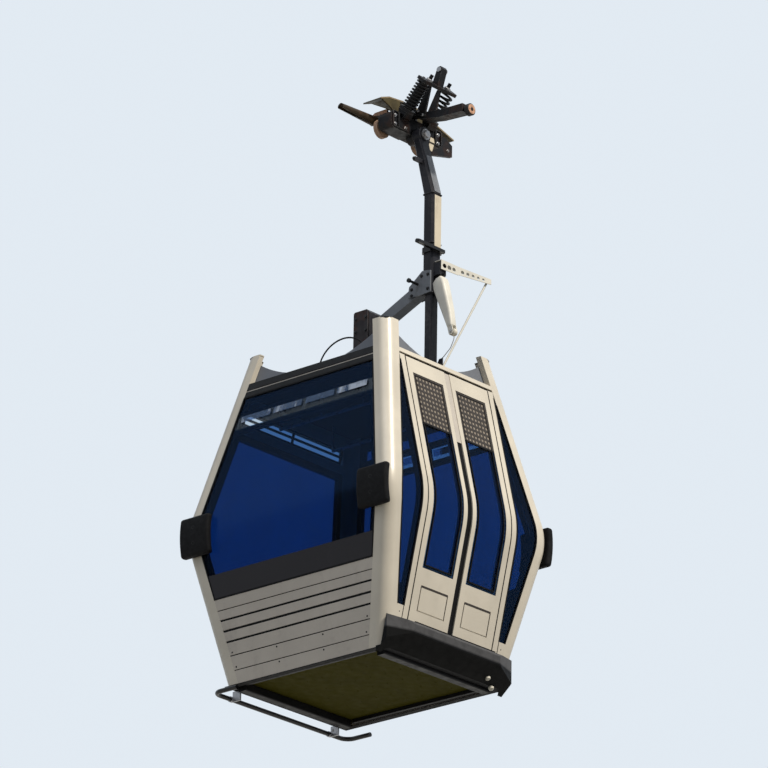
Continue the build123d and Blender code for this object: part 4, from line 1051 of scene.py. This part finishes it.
def door_lever():
    """The lever that a station guide turns: a flat top and two drilled webs along its front."""
    back = [(-0.030, -0.006), (0.070, -0.006), (0.215, -0.070), (0.396, -0.158)]
    front = [(-0.030, -0.064), (0.120, -0.100), (0.210, -0.118), (0.388, -0.186)]
    lever, thick = Shape(), on_lever(0, 0, 0.005) - on_lever(0, 0)
    lever.prism([on_lever(*point, 0.004) for point in back + front[::-1]], thick)
    add_web(lever, front[0], front[1], (0.074, 0.066), ((0.030, 0.017), (0.072, 0.017), (0.114, 0.015)))
    add_web(lever, front[1], front[3], (0.062, 0.040),
            ((0.035, 0.014), (0.080, 0.013), (0.125, 0.012), (0.170, 0.011), (0.213, 0.010)))
    lever.make("door_lever_plate", "white_paint", replaces="door_lever")


def roller_arm():
    """The cast arm below the lever with its fork and boot, and the small bolts of the control."""
    hub = ARM_ROLLER
    top = Vector((0, LEVER_Y - 0.030, CONTROL_Z - 0.0605))
    down = (hub - top).normalized()
    back = down.cross(AXIS_X)
    arm = Shape()
    # distance down the arm, width, depth, corners, shift to the back
    arm.rings([rounded_ring(top + down * along + back * shift, AXIS_X, back, wide / 2, deep / 2, corner)
               for along, wide, deep, corner, shift in (
                   (0.020, 0.062, 0.058, 0.018, 0), (0.050, 0.078, 0.104, 0.018, -0.008),
                   (0.100, 0.080, 0.108, 0.018, -0.008), (0.300, 0.070, 0.082, 0.018, 0),
                   (0.395, 0.062, 0.060, 0.014, 0), (0.425, 0.064, 0.052, 0.014, 0),
                   (0.438, 0.060, 0.046, 0.012, 0))])
    cheek = [hub + down * 0.024 * max(math.cos(a), 0) + back * 0.022 * math.sin(a)
             for a in (math.pi * (6 - k) / 12 for k in range(13))]
    cheek += [hub - down * 0.055 - back * 0.022, hub - down * 0.055 + back * 0.022]
    for sx in SIDES:
        arm.prism([p + AXIS_X * sx * 0.0192 for p in cheek], AXIS_X * sx * 0.007)
    arm.turned(hub - AXIS_X * 0.032, AXIS_X, [(0, 0.0078), (0.064, 0.0078)], 16)
    arm.make("arm_casting", "white_paint", bevel=0.0015, replaces="roller_arm")

    bolts, lever_up = Shape(), (math.sin(LEVER_FALL), 0, math.cos(LEVER_FALL))
    bolts.bolt(on_lever(0.010, -0.036, 0.009), lever_up, 0.009, 0.012)
    bolts.bolt(on_lever(0.385, -0.170, 0.009), lever_up, 0.007, 0.008)
    for sx in SIDES:
        bolts.bolt(hub + AXIS_X * sx * 0.029, (sx, 0, 0), 0.008, 0.006)
    bolts.make("control_bolts", "zinc_steel")

    boot, folds = Shape(), []
    for k in range(4):
        folds += [(k * 0.010 - 0.004, 0.037 - k * 0.001), (k * 0.010 + 0.001, 0.030 - k * 0.001)]
    boot.turned(top + down * 0.004, down, folds, 24)
    boot.make("arm_boot", "black_rubber")


# Grip

SPRING_AXIS = Vector((0, -math.sin(SPRING_LEAN), math.cos(SPRING_LEAN)))
SPRING_SIDE = SPRING_AXIS.cross(AXIS_X)


def coil(name, x, windings, sleeve, radius=0.0455, wire=0.0088, steps=26):
    """A coil spring between its seat and the yoke, with a sleeve inside where it has one."""
    spring = Shape()
    count = int(windings * steps)
    path = []
    for share in (i / count for i in range(count + 1)):
        a = 2 * math.pi * windings * share
        path.append(SPRING_FOOT + AXIS_X * (x + radius * math.cos(a)) + SPRING_SIDE * (radius * math.sin(a))
                    + SPRING_AXIS * (wire + (SPRING_LENGTH - 2 * wire) * share))
    spring.tube(path, wire)
    if sleeve:
        spring.turned(SPRING_FOOT + AXIS_X * x + SPRING_AXIS * 0.001, SPRING_AXIS,
                      [(0, sleeve), (SPRING_LENGTH - 0.002, sleeve)], 24)
    piece = spring.plain(name, "spring_steel")
    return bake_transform(piece)


def grip_trim():
    """Bolts, ribs and cover of the grip, worn faces of the rope guides, and pale strips on the friction
    plate's top edges that are rubbed wear and painted highlight.
    """
    nut = [(-0.006, 0.021), (0.004, 0.021), (0.006, 0.018)]
    swing_nut = [(-0.001, 0.040), (0.003, 0.040), (0.0035, 0.030), (0.016, 0.030), (0.019, 0.026)]
    bolts = Shape()
    for sx in SIDES:
        for x, z in ((0.238, -0.020), (0.238, -0.088), (0.120, -0.088)):
            bolts.bolt((sx * x, -0.236, z), (0, -1, 0), 0.012, 0.011)
        bolts.turned((sx * 0.0775, -0.150, 0.085), (sx, 0, 0), nut, 6)
        bolts.bolt((sx * 0.088, -0.060, 0.064), AXIS_Z, 0.009, 0.009)
    bolts.turned((0, -0.332, -0.120), (0, -1, 0), swing_nut, 6)
    for x, z in ((0.29, -0.02), (0.36, -0.02), (0.45, -0.05)):
        bolts.bolt((x, -0.150, z), (0, -1, 0), 0.010, 0.009)
    bolts.make("grip_bolts", "zinc_steel", "grip")

    ribs = Shape()
    for x in (-0.265, -0.205, 0.205, 0.265):
        ribs.slab(((-0.2365, -0.112), (-0.250, -0.104), (-0.250, 0.004), (-0.2365, 0.010)), x - 0.006, 0.012)
    for z in (-0.113, 0.004):
        for sx in SIDES:
            ribs.block((sx * 0.262, -0.249, z), (sx * 0.100, -0.2365, z + 0.008))
    ribs.make("grip_ribs", "grip_casting", "grip", bevel=0.002)

    outline = ((0.128, -0.168), (0.170, -0.176), (0.196, -0.100), (0.188, -0.066), (0.150, -0.066))
    cover = Shape()
    cover.prism([(x, -0.2370, z) for x, z in outline], (0, -0.006, 0))
    cover.make("grip_cover", "grip_casting", "grip", look="cream_plate", bevel=0.002)

    flange = ((-0.108, 0.008), (-0.060, 0.008), (-0.050, 0.036), (-0.028, 0.051), (0.0, 0.056),
              (0.028, 0.051), (0.046, 0.040), (0.046, 0.058), (0.009, 0.081), (-0.108, 0.081))
    lip = ((-0.049, -0.056), (-0.0235, -0.056), (-0.0235, -0.020), (-0.049, -0.020))
    faces = Shape()
    for sx in SIDES:
        for x, thick in ((0.1697, -0.003), (0.1843, 0.003)):
            faces.slab(flange, sx * x, sx * thick)
            faces.slab(lip, sx * x, sx * thick)
    faces.make("guide_faces", "grip_casting", "grip", look="worn_tan")

    # Painted highlight and rubbed wear: pale strips along the friction plate's sunlit top edges
    edges = Shape()
    line = [(-0.300, 0.126), (-0.210, 0.160), (-0.060, 0.176), (0.110, 0.172), (0.300, 0.120), (0.515, 0.060)]
    outline = [(x, z + 0.001) for x, z in line] + [(x, z - 0.010) for x, z in line[::-1]]
    for y in (-0.153, 0.0175):
        edges.prism([(x, y, z) for x, z in outline], (0, 0.0035, 0))
    edges.make("friction_edge_highlight", "white_paint", "grip", look="rubbed_edge")


def yoke_nuts():
    """Nuts on the springs' yoke, the cross pin of its eye, and bolts in the lever's sides."""
    nuts, yoke = Shape(), SPRING_FOOT + SPRING_AXIS * (SPRING_LENGTH + 0.0244)
    for sx in SIDES:
        for x, aside, nut in ((0.100, 0, [(-0.001, 0.026), (0.014, 0.026), (0.017, 0.022)]),
                              (SPRING_X, 0.030, [(-0.001, 0.010), (0.008, 0.010)])):
            nuts.turned(yoke + AXIS_X * sx * x + SPRING_SIDE * aside, SPRING_AXIS, nut, 6)
        for y, z in ((-0.30, 0.055), (-0.345, 0.012)):
            nuts.bolt((sx * 0.0594, y, z), (sx, 0, 0), 0.009, 0.008)
    pin = [(0, 0.019), (0.008, 0.019), (0.0085, 0.0115)]
    nuts.turned((-0.040, -0.477, 0.346), AXIS_X, mirrored(pin, 0.080))
    nuts.make("yoke_nuts", "zinc_steel", "clamp_lever")


def wheel(name, body, node, x):
    """Running wheel: grooved polyamide tyre, bolted steel hub."""
    tyre, hub = Shape(), Shape()
    at, way = (x, WHEEL_Y - 0.0195, WHEEL_Z), (0, 1, 0)
    wide, r, bore, rim, web, bolt_circle = 0.039, 0.0718, 0.0155, 0.034, 0.005, 0.0235
    tread = [(0.0, rim), (0.0, r - 0.006), (0.001, r - 0.003), (0.004, r), (wide / 2 - 0.004, r),
             (wide / 2, r - 0.003), (wide / 2 + 0.004, r), (wide - 0.004, r), (wide - 0.001, r - 0.003),
             (wide, r - 0.006), (wide, rim)]
    inside = [(wide - web, rim - 0.002), (wide - web, bore), (web, bore), (web, rim - 0.002)]
    tyre.turned(at, way, tread + inside, 48)
    tyre.make(name, "white_roller", body, look="worn_tyre", replaces=node)
    hub.turned(at, way, mirrored([(0.003, bore + 0.0001), (0.003, 0.031), (0.0055, 0.031)], wide), 32)
    for a in turns(5):
        for along, sign in ((wide - 0.003, 1), (0.003, -1)):
            place = (x + bolt_circle * math.cos(a), at[1] + along, WHEEL_Z + bolt_circle * math.sin(a))
            hub.bolt(place, (0, sign, 0), 0.0045, 0.0035)
    hub.make(name + "_hub", "zinc_steel", body)


def lever_roller():
    """The lever's dark roller with its worn, bolted face."""
    wide, r, bore, bolt_circle, y = 0.042, 0.0458, 0.0150, 0.026, LEVER_ROLLER_Y
    roller, face = Shape(), Shape()
    tread = mirrored([(0.001, bore), (0.001, r - 0.006), (0.006, r)], wide)
    roller.turned((0, y - 0.021, LEVER_ROLLER_Z), (0, 1, 0), tread, 40)
    roller.make("lever_roller_tyre", "dark_roller", "lever_roller", replaces="lever_roller")
    face.turned((0, y - 0.0215, LEVER_ROLLER_Z), (0, 1, 0),
                [(-0.0004, bore), (-0.0004, 0.036), (0.002, 0.038), (0.003, bore)], 40)
    for a in turns(4):
        at = (bolt_circle * math.cos(a), y - 0.0218, LEVER_ROLLER_Z + bolt_circle * math.sin(a))
        face.bolt(at, (0, -1, 0), 0.0042, 0.003)
    face.make("lever_roller_face", "dark_roller", "lever_roller", look="worn_tan")


set_camera()
studio()
for side in "AB":
    end_trim(side)
for section in (door_joints, leaf_trim, door_seals, post_caps, rear_trim, bumper_pads, step_trim, underside,
                roof_top, roof_linkage, roof_corners, ceiling_and_rails):
    section()
padded_bench("bench_cushion_a", "seat_cushion_a")
padded_bench("bench_cushion_b", "seat_cushion_b")
for section in (hanger_trim, hanger_joint, suspension, door_lever, roller_arm):
    section()
rear_spring = coil("coil_spring_rear", -SPRING_X, 8.5, 0.034)
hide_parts("grip_springs")
coil("coil_spring_front", SPRING_X, 6.5, 0)
grip_trim()
yoke_nuts()
wheel("wheel_rear_tyre", "wheel_rear", "running_wheel_rear", -WHEEL_X)
wheel("wheel_front_tyre", "wheel_front", "running_wheel_front", WHEEL_X)
lever_roller()
